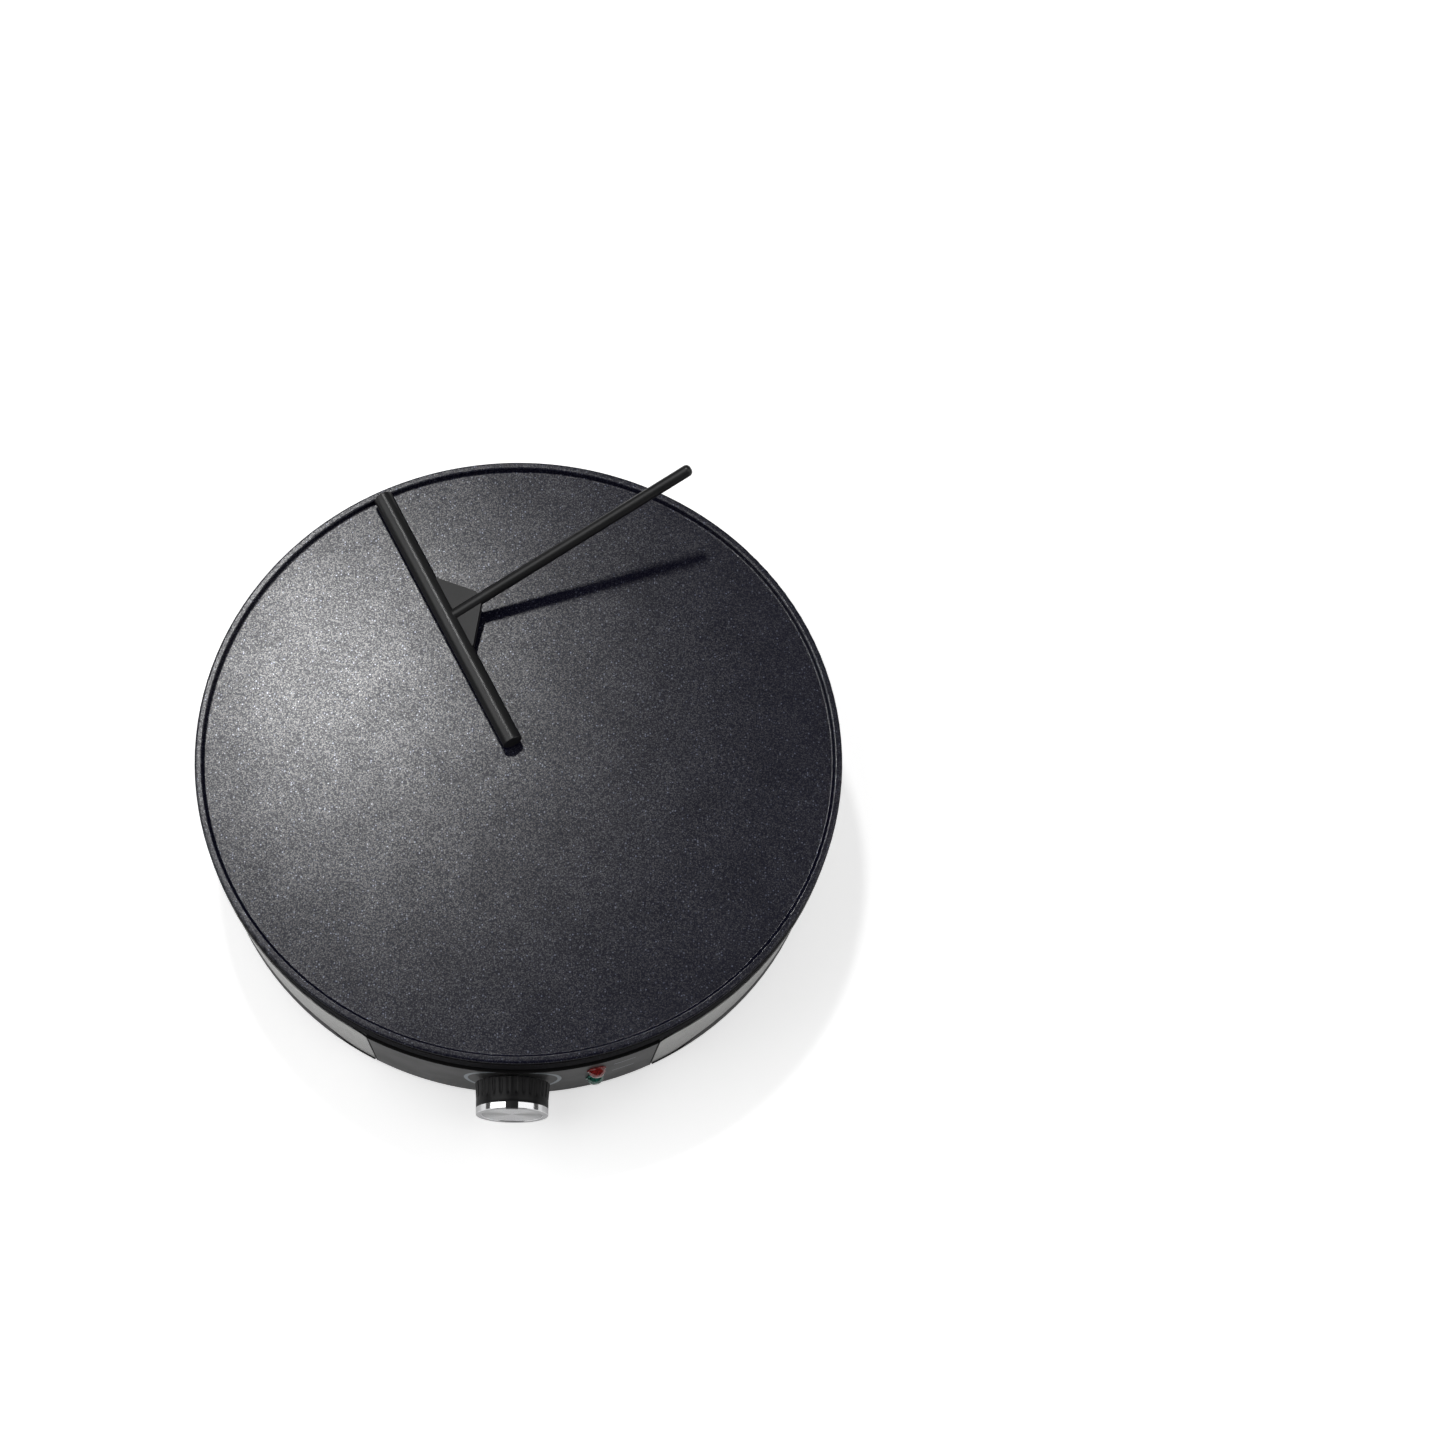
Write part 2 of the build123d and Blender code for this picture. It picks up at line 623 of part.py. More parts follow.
with BuildPart() as housing_shell:
    with BuildSketch(Plane.XZ):
        with BuildLine():
            Polyline((cover_r + fit, base_z), (wall_r(base_z, -shell_inset), base_z),
                     (wall_r(wall_top, -shell_inset), wall_top),
                     (wall_r(wall_top, -shell_inset - shell_t), wall_top),
                     (wall_r(floor_z, -shell_inset - shell_t), floor_z),
                     (cover_r + fit + floor_t, floor_z), (cover_r + fit + floor_t, ledge_z + floor_t),
                     (cover_r - cover_ledge, ledge_z + floor_t), (cover_r - cover_ledge, ledge_z),
                     (cover_r + fit, ledge_z), (cover_r + fit, base_z))
        make_face()
    revolve(axis=Axis.Z)
    add(base_ring.part)
    # bosses for the plate screws
    with BuildSketch(Plane.XY.offset(base_z)):
        with Locations(*ring(pillar_ring_r, pillar_angles)):
            Circle(floor_boss_d / 2)
    extrude(amount=floor_boss_h)
    with BuildSketch(Plane.XY.offset(base_z)):
        with Locations(*ring(pillar_ring_r, pillar_angles)):
            Circle(plate_screw_d / 2 + fit)
    extrude(amount=floor_boss_h, mode=Mode.SUBTRACT)
    with BuildSketch(Plane.XY.offset(base_z)):
        with Locations(*ring(pillar_ring_r, pillar_angles)):
            Circle(plate_screw_head_d / 2 + head_side_gap)
    extrude(amount=head_recess, mode=Mode.SUBTRACT)
    # holes for the feet, the cover screws and the gland
    with BuildSketch(Plane.XY.offset(base_z)):
        with Locations(*ring(foot_ring_r, foot_names)):
            Circle(foot_stem_d / 2 + slip)
    extrude(amount=floor_t, mode=Mode.SUBTRACT)
    with BuildSketch(Plane.XY.offset(ledge_z)):
        with Locations(*ring(cover_screw_r, cover_screw_azimuths)):
            Circle(cover_screw_d / 2 + slip)
    extrude(amount=floor_t, mode=Mode.SUBTRACT)
    with BuildSketch(wall_plane(180, gland_z, out=shell_t)):
        Circle(gland_d / 2 + slip)
    extrude(amount=-wall_cut, mode=Mode.SUBTRACT)
    # seat and window for the control panel
    with BuildSketch(half_plane(-panel_half_angle - seam)):
        with BuildLine():
            Polyline((wall_r(rest_z, -pocket_inset), rest_z), (wall_r(rest_z, plate_r), rest_z),
                     (wall_r(rim_z, plate_r), rim_z), (wall_r(rim_z, -pocket_inset), rim_z),
                     (wall_r(rest_z, -pocket_inset), rest_z))
        make_face()
    revolve(axis=Axis.Z, revolution_arc=2 * (panel_half_angle + seam), mode=Mode.SUBTRACT)
    with BuildSketch(half_plane(-panel_half_angle + panel_lap)):
        with Locations((wall_r(window_low), window_low)):
            Rectangle(window_depth, window_high - window_low, align=(Align.CENTER, Align.MIN))
    revolve(axis=Axis.Z, revolution_arc=2 * (panel_half_angle - panel_lap), mode=Mode.SUBTRACT)
    for azimuth in (-panel_screw_azimuth, panel_screw_azimuth):
        for height in panel_screw_heights:
            with BuildSketch(wall_plane(azimuth, height)):
                Circle(panel_boss_d / 2 + fit)
            extrude(amount=-wall_cut, mode=Mode.SUBTRACT)
    # bosses under the terminal block and the thermostat bracket
    with BuildSketch(Plane.XY.offset(floor_z)):
        with Locations(*block_screw_points, *bracket_screw_points):
            Circle(small_boss_d / 2)
    extrude(amount=small_boss_h)
    with BuildSketch(Plane.XY.offset(floor_z + slip)):
        with Locations(*block_screw_points, *bracket_screw_points):
            Circle(small_screw_d / 2 + slip)
    extrude(amount=small_boss_h, mode=Mode.SUBTRACT)
housing_shell.part.label = "housing_shell"
export_step(housing_shell.part, "parts/housing_shell.step")

# ---------------------------------------------------------------- steel band
# Brushed stainless strip wrapped round the housing from one side of the panel to the other.
with BuildPart() as steel_band:
    with BuildSketch(half_plane(panel_half_angle + seam)):
        with BuildLine():
            Polyline((wall_r(low_z), low_z), (wall_r(wall_top), wall_top),
                     (wall_r(wall_top, -band_t), wall_top), (wall_r(low_z, -band_t), low_z),
                     (wall_r(low_z), low_z))
        make_face()
    revolve(axis=Axis.Z, revolution_arc=360 - 2 * (panel_half_angle + seam))
    add(front_block(0, above=False), mode=Mode.SUBTRACT)
    with BuildSketch(Plane.XZ):
        with Locations((0, band_z)):
            Rectangle(2 * plate_d, 2 * base_h, align=(Align.CENTER, Align.MAX))
    extrude(amount=-plate_d, mode=Mode.SUBTRACT)
    # rounded upper corners beside the panel
    with BuildSketch(Plane.XZ):
        with BuildLine():
            Polyline((seam_x - corner_w, wall_top - corner_h), (seam_x, wall_top - corner_h))
            Bezier((seam_x, wall_top - corner_h), (seam_x, wall_top - corner_h / 3),
                   (seam_x + corner_w / 3, wall_top), (seam_x + corner_w, wall_top))
            Polyline((seam_x + corner_w, wall_top), (seam_x + corner_w, rim_z), (seam_x - corner_w, rim_z),
                     (seam_x - corner_w, wall_top - corner_h))
        make_face()
        mirror(about=Plane.YZ)
    extrude(amount=plate_d, mode=Mode.SUBTRACT)
    with BuildSketch(wall_plane(180, gland_z, out=shell_t)):
        Circle(gland_d / 2 + fit)
    extrude(amount=-wall_cut, mode=Mode.SUBTRACT)
steel_band.part.label = "steel_band"
export_step(steel_band.part, "parts/steel_band.step")

# ---------------------------------------------------------------- control panel
# Moulded fascia, a little proud of the band, held by four screws from inside the housing.
with BuildPart() as front_panel:
    with BuildSketch(half_plane(-panel_half_angle)):
        with BuildLine():
            Polyline((wall_r(panel_z, panel_proud), panel_z), (wall_r(wall_top, panel_proud), wall_top),
                     (wall_r(wall_top, panel_proud - panel_t), wall_top),
                     (wall_r(panel_z, panel_proud - panel_t), panel_z),
                     (wall_r(panel_z, panel_proud), panel_z))
        make_face()
    revolve(axis=Axis.Z, revolution_arc=2 * panel_half_angle)
    face_edges = front_panel.faces().sort_by(Axis.Y)[0].edges()
    fillet(face_edges, panel_edge_r)
    # bosses on the back for the panel screws
    for azimuth in (-panel_screw_azimuth, panel_screw_azimuth):
        for height in panel_screw_heights:
            with BuildSketch(wall_plane(azimuth, height, out=panel_proud - panel_t / 2)):
                Circle(panel_boss_d / 2)
            extrude(amount=-(panel_t / 2 + shell_inset + shell_t - pocket_inset))
            with BuildSketch(wall_plane(azimuth, height, out=panel_proud - panel_t / 2)):
                Circle(panel_screw_d / 2 + slip)
            extrude(amount=-wall_cut, mode=Mode.SUBTRACT)
    # spindle hole and lamp holes
    with BuildSketch(knob_plane.offset(panel_t)):
        Circle(spindle_hole_d / 2)
    extrude(amount=-wall_cut, mode=Mode.SUBTRACT)
    for height in lamp_heights.values():
        with BuildSketch(wall_plane(lamp_azimuth, height, out=panel_t)):
            Circle(lens_stem_d / 2 + fit)
        extrude(amount=-wall_cut, mode=Mode.SUBTRACT)
front_panel.part.label = "front_panel"
export_step(front_panel.part, "parts/front_panel.step")

with BuildPart() as panel_screws:
    for azimuth in (-panel_screw_azimuth, panel_screw_azimuth):
        for height in panel_screw_heights:
            seat = wall_plane(azimuth, height, out=-shell_inset - shell_t - fit)
            with BuildSketch(seat):
                Circle(panel_screw_d / 2)
            extrude(amount=shell_inset + shell_t - panel_t / 2 + panel_proud - fit)
            with BuildSketch(seat):
                Circle(panel_screw_head_d / 2)
            extrude(amount=-small_head_h)
panel_screws.part.label = "panel_screws"
export_step(panel_screws.part, "parts/panel_screws.step")

# ---------------------------------------------------------------- pilot lamps
# Faceted press-in lenses, a tubular holder behind the panel and a neon bulb in each.
for colour, height in lamp_heights.items():
    face = wall_plane(lamp_azimuth, height, out=panel_proud + fit)
    with BuildPart() as lens:
        with BuildSketch(face):
            Circle(lens_d / 2)
        extrude(amount=lens_flange_t)
        with BuildSketch(face.offset(lens_flange_t)):
            RegularPolygon(lens_d / 2, lens_facets)
        with BuildSketch(face.offset(lens_h)):
            RegularPolygon(lens_table_d / 2, lens_facets)
        loft()
        with BuildSketch(face):
            Circle(lens_stem_d / 2)
        extrude(amount=-lens_stem_l)
    lens.part.label = f"{colour}_lens"
    export_step(lens.part, f"parts/{colour}_lens.step")

    with BuildPart() as lamp_holder:
        with BuildSketch(face.offset(-panel_t - 2 * fit)):
            Circle(lamp_holder_d / 2)
        extrude(amount=-lamp_holder_l)
        with BuildSketch(face.offset(-panel_t - 2 * fit)):
            Circle(lens_stem_d / 2 + slip)
        extrude(amount=lamp_holder_end - lamp_holder_l, mode=Mode.SUBTRACT)
    lamp_holder.part.label = f"{colour}_lamp_holder"
    export_step(lamp_holder.part, f"parts/{colour}_lamp_holder.step")

    with BuildPart() as bulb:
        with BuildSketch(face.offset(-lens_stem_l - fit)):
            Circle(bulb_d / 2)
        extrude(amount=-bulb_l)
        fillet(bulb.edges().filter_by(GeomType.CIRCLE), bulb_round)
    bulb.part.label = f"{colour}_lamp_bulb"
    export_step(bulb.part, f"parts/{colour}_lamp_bulb.step")

# ---------------------------------------------------------------- thermostat
# Upright steel bracket on the floor; it holds the thermostat square to the knob.
with BuildPart() as thermostat_bracket:
    with BuildSketch(bracket_plane.offset(-bracket_t)):
        foot_drop = (knob_z - floor_z - small_boss_h) / cos(radians(knob_tilt))
        with Locations((0, (bracket_head - foot_drop) / 2)):
            Rectangle(bracket_w, bracket_head + foot_drop)
    extrude(amount=bracket_t)
    with BuildSketch(Plane.XY.offset(floor_z + small_boss_h)):
        with Locations((0, bracket_foot_y - bracket_t / 2)):
            Rectangle(bracket_w, bracket_foot + bracket_t)
    extrude(amount=bracket_t)
    with BuildSketch(bracket_plane.offset(-bracket_t)):
        Circle(thermostat_neck_d / 2 + fit)
        with Locations((-thermostat_screw_pitch / 2, 0), (thermostat_screw_pitch / 2, 0)):
            Circle(small_screw_d / 2 + fit)
    extrude(amount=2 * bracket_t, mode=Mode.SUBTRACT)
    with BuildSketch(Plane.XY.offset(floor_z + small_boss_h)):
        with Locations(*bracket_screw_points):
            Circle(small_screw_d / 2 + fit)
    extrude(amount=bracket_t, mode=Mode.SUBTRACT)
thermostat_bracket.part.label = "thermostat_bracket"
export_step(thermostat_bracket.part, "parts/thermostat_bracket.step")

back_plane = bracket_plane.offset(-bracket_t - thermostat_l)
with BuildPart() as thermostat:
    with BuildSketch(bracket_plane.offset(-bracket_t)):
        RectangleRounded(thermostat_w, thermostat_h, bracket_t)
    extrude(amount=-thermostat_l)
    with BuildSketch(bracket_plane.offset(-bracket_t)):
        Circle(thermostat_neck_d / 2)
    extrude(amount=bracket_t + thermostat_neck_l)
    with BuildSketch(bracket_plane.offset(thermostat_neck_l)):
        Circle(spindle_d / 2 + slip)
    extrude(amount=-thermostat_neck_l - bracket_t - spindle_in - fit, mode=Mode.SUBTRACT)
    with BuildSketch(bracket_plane.offset(-bracket_t)):
        with Locations((-thermostat_screw_pitch / 2, 0), (thermostat_screw_pitch / 2, 0)):
            Circle(small_screw_d / 2 + slip)
    extrude(amount=-thermostat_screw_bite, mode=Mode.SUBTRACT)
thermostat.part.label = "thermostat"
export_step(thermostat.part, "parts/thermostat.step")

with BuildPart() as thermostat_tabs:
    with BuildSketch(back_plane):
        with Locations((-tab_pitch / 2, 0), (tab_pitch / 2, 0)):
            Rectangle(tab_t, tab_w)
    extrude(amount=-tab_l)
thermostat_tabs.part.label = "thermostat_tabs"
export_step(thermostat_tabs.part, "parts/thermostat_tabs.step")

# Screws of the bracket: two into the thermostat, two into the floor bosses.
with BuildPart() as bracket_screws:
    with BuildSketch(bracket_plane):
        with Locations((-thermostat_screw_pitch / 2, 0), (thermostat_screw_pitch / 2, 0)):
            Circle(small_screw_d / 2)
    extrude(amount=-bracket_t - thermostat_screw_bite + fit)
    with BuildSketch(bracket_plane):
        with Locations((-thermostat_screw_pitch / 2, 0), (thermostat_screw_pitch / 2, 0)):
            Circle(small_screw_d * small_head_ratio / 2)
    extrude(amount=small_head_h)
    with BuildSketch(Plane.XY.offset(floor_z + small_boss_h + bracket_t)):
        with Locations(*bracket_screw_points):
            Circle(small_screw_d / 2)
    extrude(amount=-small_boss_h - bracket_t + fit)
    with BuildSketch(Plane.XY.offset(floor_z + small_boss_h + bracket_t)):
        with Locations(*bracket_screw_points):
            Circle(small_screw_d * small_head_ratio / 2)
    extrude(amount=small_head_h)
bracket_screws.part.label = "bracket_screws"
export_step(bracket_screws.part, "parts/bracket_screws.step")

# ---------------------------------------------------------------- knob
# Fluted grip with a pointer, a plated ring let in round its front, and a spun metal disc.
spindle_start = bracket_setback + bracket_t + spindle_in
knob_front = knob_gap + knob_grip_l
knob_face = knob_front + knob_ring_t
ring_in_r = knob_d / 2 - knob_ring_w
disc_front = knob_face - knob_disc_step
cavity_l = knob_front - knob_gap - knob_wall_t
cavity_r = knob_d / 2 - knob_flute_depth - knob_wall_t
flute_ring_r = knob_base_d / 2 + knob_flute_d / 2 - knob_flute_depth
with BuildPart() as knob_grip:
    with BuildSketch(knob_plane.offset(knob_gap)):
        Circle(knob_base_d / 2)
    with BuildSketch(knob_plane.offset(knob_front)):
        Circle(knob_d / 2)
    loft()
    with BuildSketch(knob_plane.offset(knob_gap)):
        with PolarLocations(flute_ring_r, knob_flutes, start_angle=180 / knob_flutes):
            Circle(knob_flute_d / 2)
    extrude(amount=knob_grip_l - knob_wall_t, mode=Mode.SUBTRACT)
    # centre under the disc, and the pointer that fills the notch in the ring
    with BuildSketch(knob_plane.offset(knob_front)):
        Circle(ring_in_r - slip)
    extrude(amount=disc_front - knob_disc_t - knob_front)
    with BuildSketch(knob_plane.offset(knob_front)):
        with Locations((0, (ring_in_r - knob_ring_w + knob_d / 2) / 2)):
            Rectangle(knob_pointer_w - 2 * slip, knob_d / 2 - ring_in_r + knob_ring_w)
        Circle(knob_d / 2, mode=Mode.INTERSECT)
    extrude(amount=disc_front - knob_disc_t - knob_front)
    with BuildSketch(knob_plane.offset(disc_front - knob_disc_t)):
        Rectangle(knob_pointer_w - 2 * slip, knob_d / 2, align=(Align.CENTER, Align.MIN))
        Circle(knob_d / 2, mode=Mode.INTERSECT)
        Circle(ring_in_r + slip, mode=Mode.SUBTRACT)
    extrude(amount=knob_face - disc_front + knob_disc_t)
    # hollow back with the hub
    with BuildSketch(knob_plane.offset(knob_gap)):
        Circle(cavity_r)
        Circle(knob_hub_d / 2, mode=Mode.SUBTRACT)
    extrude(amount=cavity_l, mode=Mode.SUBTRACT)
    with BuildSketch(knob_plane.offset(knob_gap)):
        Circle(spindle_d / 2 + slip)
        with Locations((0, spindle_d / 2 - spindle_flat + slip)):
            Rectangle(2 * spindle_d, spindle_d, align=(Align.CENTER, Align.MIN), mode=Mode.SUBTRACT)
        with Locations((0, spindle_d / 2 - spindle_flat)):
            Rectangle(knob_clip_w + 2 * slip, knob_clip_t + 2 * slip, align=(Align.CENTER, Align.MIN))
    extrude(amount=cavity_l, mode=Mode.SUBTRACT)
knob_grip.part.label = "knob_grip"
export_step(knob_grip.part, "parts/knob_grip.step")

with BuildPart() as knob_ring:
    with BuildSketch(knob_plane.offset(knob_front)):
        Circle(knob_d / 2)
        Circle(ring_in_r, mode=Mode.SUBTRACT)
        Rectangle(knob_pointer_w, knob_d, align=(Align.CENTER, Align.MIN), mode=Mode.SUBTRACT)
    extrude(amount=knob_ring_t)
knob_ring.part.label = "knob_ring"
export_step(knob_ring.part, "parts/knob_ring.step")

with BuildPart() as knob_disc:
    with BuildSketch(knob_plane.offset(disc_front - knob_disc_t)):
        Circle(ring_in_r - slip)
    extrude(amount=knob_disc_t)
knob_disc.part.label = "knob_disc"
export_step(knob_disc.part, "parts/knob_disc.step")

with BuildPart() as knob_clip:
    with BuildSketch(knob_plane.offset(knob_gap + slip)):
        with Locations((0, spindle_d / 2 - spindle_flat + slip)):
            Rectangle(knob_clip_w, knob_clip_t, align=(Align.CENTER, Align.MIN))
    extrude(amount=cavity_l - 2 * slip)
knob_clip.part.label = "knob_clip"
export_step(knob_clip.part, "parts/knob_clip.step")

with BuildPart() as thermostat_spindle:
    with BuildSketch(knob_plane.offset(-spindle_start)):
        Circle(spindle_d / 2)
    extrude(amount=spindle_start + knob_gap + cavity_l - fit)
    with BuildSketch(knob_plane.offset(knob_gap)):
        with Locations((0, spindle_d / 2 - spindle_flat)):
            Rectangle(2 * spindle_d, spindle_d, align=(Align.CENTER, Align.MIN))
    extrude(amount=cavity_l, mode=Mode.SUBTRACT)
thermostat_spindle.part.label = "thermostat_spindle"
export_step(thermostat_spindle.part, "parts/thermostat_spindle.step")

# ---------------------------------------------------------------- bottom cover and feet
with BuildPart() as bottom_cover:
    with BuildSketch(Plane.XY.offset(base_z)):
        Circle(cover_r)
        with Locations(*ring(cover_screw_r, cover_screw_azimuths)):
            Circle(cover_screw_d / 2 + fit, mode=Mode.SUBTRACT)
        for vent_r, count in vent_rows:
            with PolarLocations(vent_r, count):
                SlotOverall(vent_l, vent_w, mode=Mode.SUBTRACT)
    extrude(amount=cover_t)
bottom_cover.part.label = "bottom_cover"
export_step(bottom_cover.part, "parts/bottom_cover.step")

with BuildPart() as cover_screws:
    with BuildSketch(Plane.XY.offset(base_z)):
        with Locations(*ring(cover_screw_r, cover_screw_azimuths)):
            Circle(cover_screw_d / 2)
    extrude(amount=cover_screw_l)
    with BuildSketch(Plane.XY.offset(base_z)):
        with Locations(*ring(cover_screw_r, cover_screw_azimuths)):
            Circle(cover_screw_d * small_head_ratio / 2)
    extrude(amount=-small_head_h)
cover_screws.part.label = "cover_screws"
export_step(cover_screws.part, "parts/cover_screws.step")

# Push-in rubber feet: a pad, a stem through the floor and a lip that holds it.
for azimuth, label in foot_names.items():
    with BuildPart() as foot:
        with BuildSketch(Plane.XY.offset(rest_z)):
            with Locations(*ring(foot_ring_r, (azimuth,))):
                Circle(foot_d / 2)
        extrude(amount=foot_h)
        fillet(foot.edges().group_by(Axis.Z)[0], foot_round)
        with BuildSketch(Plane.XY.offset(base_z)):
            with Locations(*ring(foot_ring_r, (azimuth,))):
                Circle(foot_stem_d / 2)
        extrude(amount=floor_t)
        with BuildSketch(Plane.XY.offset(floor_z)):
            with Locations(*ring(foot_ring_r, (azimuth,))):
                Circle(foot_lip_d / 2)
        extrude(amount=foot_lip_h, taper=foot_lip_taper)
    foot.part.label = label
    export_step(foot.part, f"parts/{label}.step")

# ---------------------------------------------------------------- supply side
# Rubber inlet bush in the rear wall.
gland_plane = wall_plane(180, gland_z)
gland_in = shell_inset + shell_t + gland_tail
with BuildPart() as cord_gland:
    with BuildSketch(gland_plane.offset(-gland_in)):
        Circle(gland_d / 2)
    extrude(amount=gland_in + gland_lift)
    with BuildSketch(gland_plane.offset(gland_lift)):
        Circle(gland_flange_d / 2)
    with BuildSketch(gland_plane.offset(gland_lift + gland_flange_t)):
        Circle(gland_d / 2)
    loft()
    with BuildSketch(gland_plane.offset(-gland_in)):
        Circle(gland_bore_d / 2)
    extrude(amount=gland_in + gland_lift + gland_flange_t, mode=Mode.SUBTRACT)
cord_gland.part.label = "cord_gland"
export_step(cord_gland.part, "parts/cord_gland.step")

block_z = floor_z + small_boss_h
with BuildPart() as terminal_block:
    with BuildSketch(Plane.XY.offset(block_z)):
        with Locations((0, block_y)):
            Rectangle(block_w, block_d)
    extrude(amount=block_h)
    with BuildSketch(Plane.XY.offset(block_z)):
        with Locations(*block_screw_points):
            Circle(small_screw_d / 2 + fit)
    extrude(amount=block_h, mode=Mode.SUBTRACT)
    with BuildSketch(Plane.XY.offset(block_z + block_screw_seat)):
        with Locations(*block_screw_points):
            Circle(small_screw_d * small_head_ratio / 2 + fit)
    extrude(amount=block_h, mode=Mode.SUBTRACT)
terminal_block.part.label = "terminal_block"
export_step(terminal_block.part, "parts/terminal_block.step")

with BuildPart() as block_screws:
    with BuildSketch(Plane.XY.offset(block_z + block_screw_seat)):
        with Locations(*block_screw_points):
            Circle(small_screw_d / 2)
    extrude(amount=-block_screw_seat - small_boss_h + fit)
    with BuildSketch(Plane.XY.offset(block_z + block_screw_seat)):
        with Locations(*block_screw_points):
            Circle(small_screw_d * small_head_ratio / 2)
    extrude(amount=small_head_h)
block_screws.part.label = "block_screws"
export_step(block_screws.part, "parts/block_screws.step")

# Insulated leads: block to thermostat, thermostat to element, element to fuse, fuse to block,
# and the earth to the shield.
pin_low = bead_z - pin_l - fit
tab_end = back_plane.offset(-tab_l - fit).origin
low_lead_z = floor_z + small_boss_h + lead_floor_gap
mid_lead_z = pin_low - lead_drop
block_face = block_y - block_d / 2
lead_x = tab_pitch / 2
lead_turn_y = tab_end.Y + lead_straight
lead_routes = {
    "live_lead": [(-lead_x, block_face, low_lead_z), (-lead_x, lead_turn_y, low_lead_z),
                  (-lead_x, lead_turn_y, tab_end.Z), (-lead_x, tab_end.Y, tab_end.Z)],
    "switched_lead": [(lead_x, tab_end.Y, tab_end.Z), (lead_x, lead_turn_y, tab_end.Z),
                      (lead_x, lead_turn_y, mid_lead_z), (leg_low.X, leg_low.Y, mid_lead_z),
                      (leg_low.X, leg_low.Y, pin_low)],
    "fuse_lead": [(-leg_low.X, leg_low.Y, pin_low), (-leg_low.X, leg_low.Y, mid_lead_z),
                  (fuse_x, fuse_front_y, mid_lead_z), (fuse_x, fuse_front_y, fuse_z),
                  (fuse_x, fuse_y - fuse_end, fuse_z)],
    "neutral_lead": [(fuse_x, fuse_y + fuse_end, fuse_z), (fuse_x, fuse_rear_y, fuse_z),
                     (fuse_x, fuse_rear_y, low_lead_z), (lead_x, block_face - lead_straight, low_lead_z),
                     (lead_x, block_face, low_lead_z)],
    "earth_lead": [(0, block_face, low_lead_z), (0, earth_y, low_lead_z),
                   (0, earth_y, shield_z - small_head_h - fit)],
}
for label, route in lead_routes.items():
    with BuildPart() as lead:
        with BuildLine() as lead_path:
            FilletPolyline(*route, radius=lead_bend_r)
        start = lead_path.wires()[0]
        with BuildSketch(Plane(origin=start @ 0, z_dir=start % 0)):
            Circle(lead_d / 2)
        sweep(path=start)
    lead.part.label = label
    export_step(lead.part, f"parts/{label}.step")

with BuildPart() as earth_screw:
    with BuildSketch(Plane.XY.offset(shield_z)):
        with Locations((0, earth_y)):
            Circle(earth_screw_d / 2)
    extrude(amount=earth_screw_l)
    with BuildSketch(Plane.XY.offset(shield_z)):
        with Locations((0, earth_y)):
            Circle(earth_screw_d * small_head_ratio / 2)
    extrude(amount=-small_head_h)
earth_screw.part.label = "earth_screw"
export_step(earth_screw.part, "parts/earth_screw.step")

# ---------------------------------------------------------------- batter spreader
# Round bar that sweeps along a radius of the plate, with a flat web, and a thin rod handle
# glued along the web and into the bar.
turn = radians(bar_angle)
rise = radians(rod_rise)
bar_l = flat_r - bar_rim_gap - bar_inner
bar_dir = Vector(-sin(turn), cos(turn), 0)
side_dir = Vector(cos(turn), sin(turn), 0)
rod_dir = side_dir * cos(rise) + Vector(0, 0, sin(rise))
bar_start = bar_dir * bar_inner + side_dir * bar_side + Vector(0, 0, surface_z + lift_gap + bar_d / 2)
bar_mid = bar_start + bar_dir * (bar_l / 2)
socket_start = bar_mid - bar_dir * rod_side + rod_dir * (bar_d / 2 - rod_socket)
with BuildPart() as spreader_head:
    with BuildSketch(Plane(origin=bar_start, z_dir=bar_dir)):
        Circle(bar_d / 2)
    extrude(amount=bar_l)
    fillet(spreader_head.edges().filter_by(GeomType.CIRCLE), bar_edge_r)
    with BuildSketch(Plane(origin=bar_mid, x_dir=bar_dir, z_dir=bar_dir.cross(rod_dir))):
        Polygon((-web_half, 0), (-web_half, bar_d / 2 + web_foot), (-web_tip, web_reach),
                (web_tip, web_reach), (web_half, bar_d / 2 + web_foot), (web_half, 0), align=None)
    extrude(amount=web_t / 2, both=True)
    with BuildSketch(Plane(origin=socket_start, z_dir=rod_dir)):
        Circle(rod_d / 2 + slip)
    extrude(amount=web_reach, mode=Mode.SUBTRACT)
spreader_head.part.label = "spreader_head"
export_step(spreader_head.part, "parts/spreader_head.step")

with BuildPart() as spreader_rod:
    with BuildSketch(Plane(origin=socket_start, z_dir=rod_dir)):
        Circle(rod_d / 2)
    extrude(amount=rod_l + rod_socket - bar_d / 2)
    fillet(spreader_rod.edges().sort_by(Axis.Z)[-1], rod_end_r)
spreader_rod.part.label = "spreader_rod"
export_step(spreader_rod.part, "parts/spreader_rod.step")
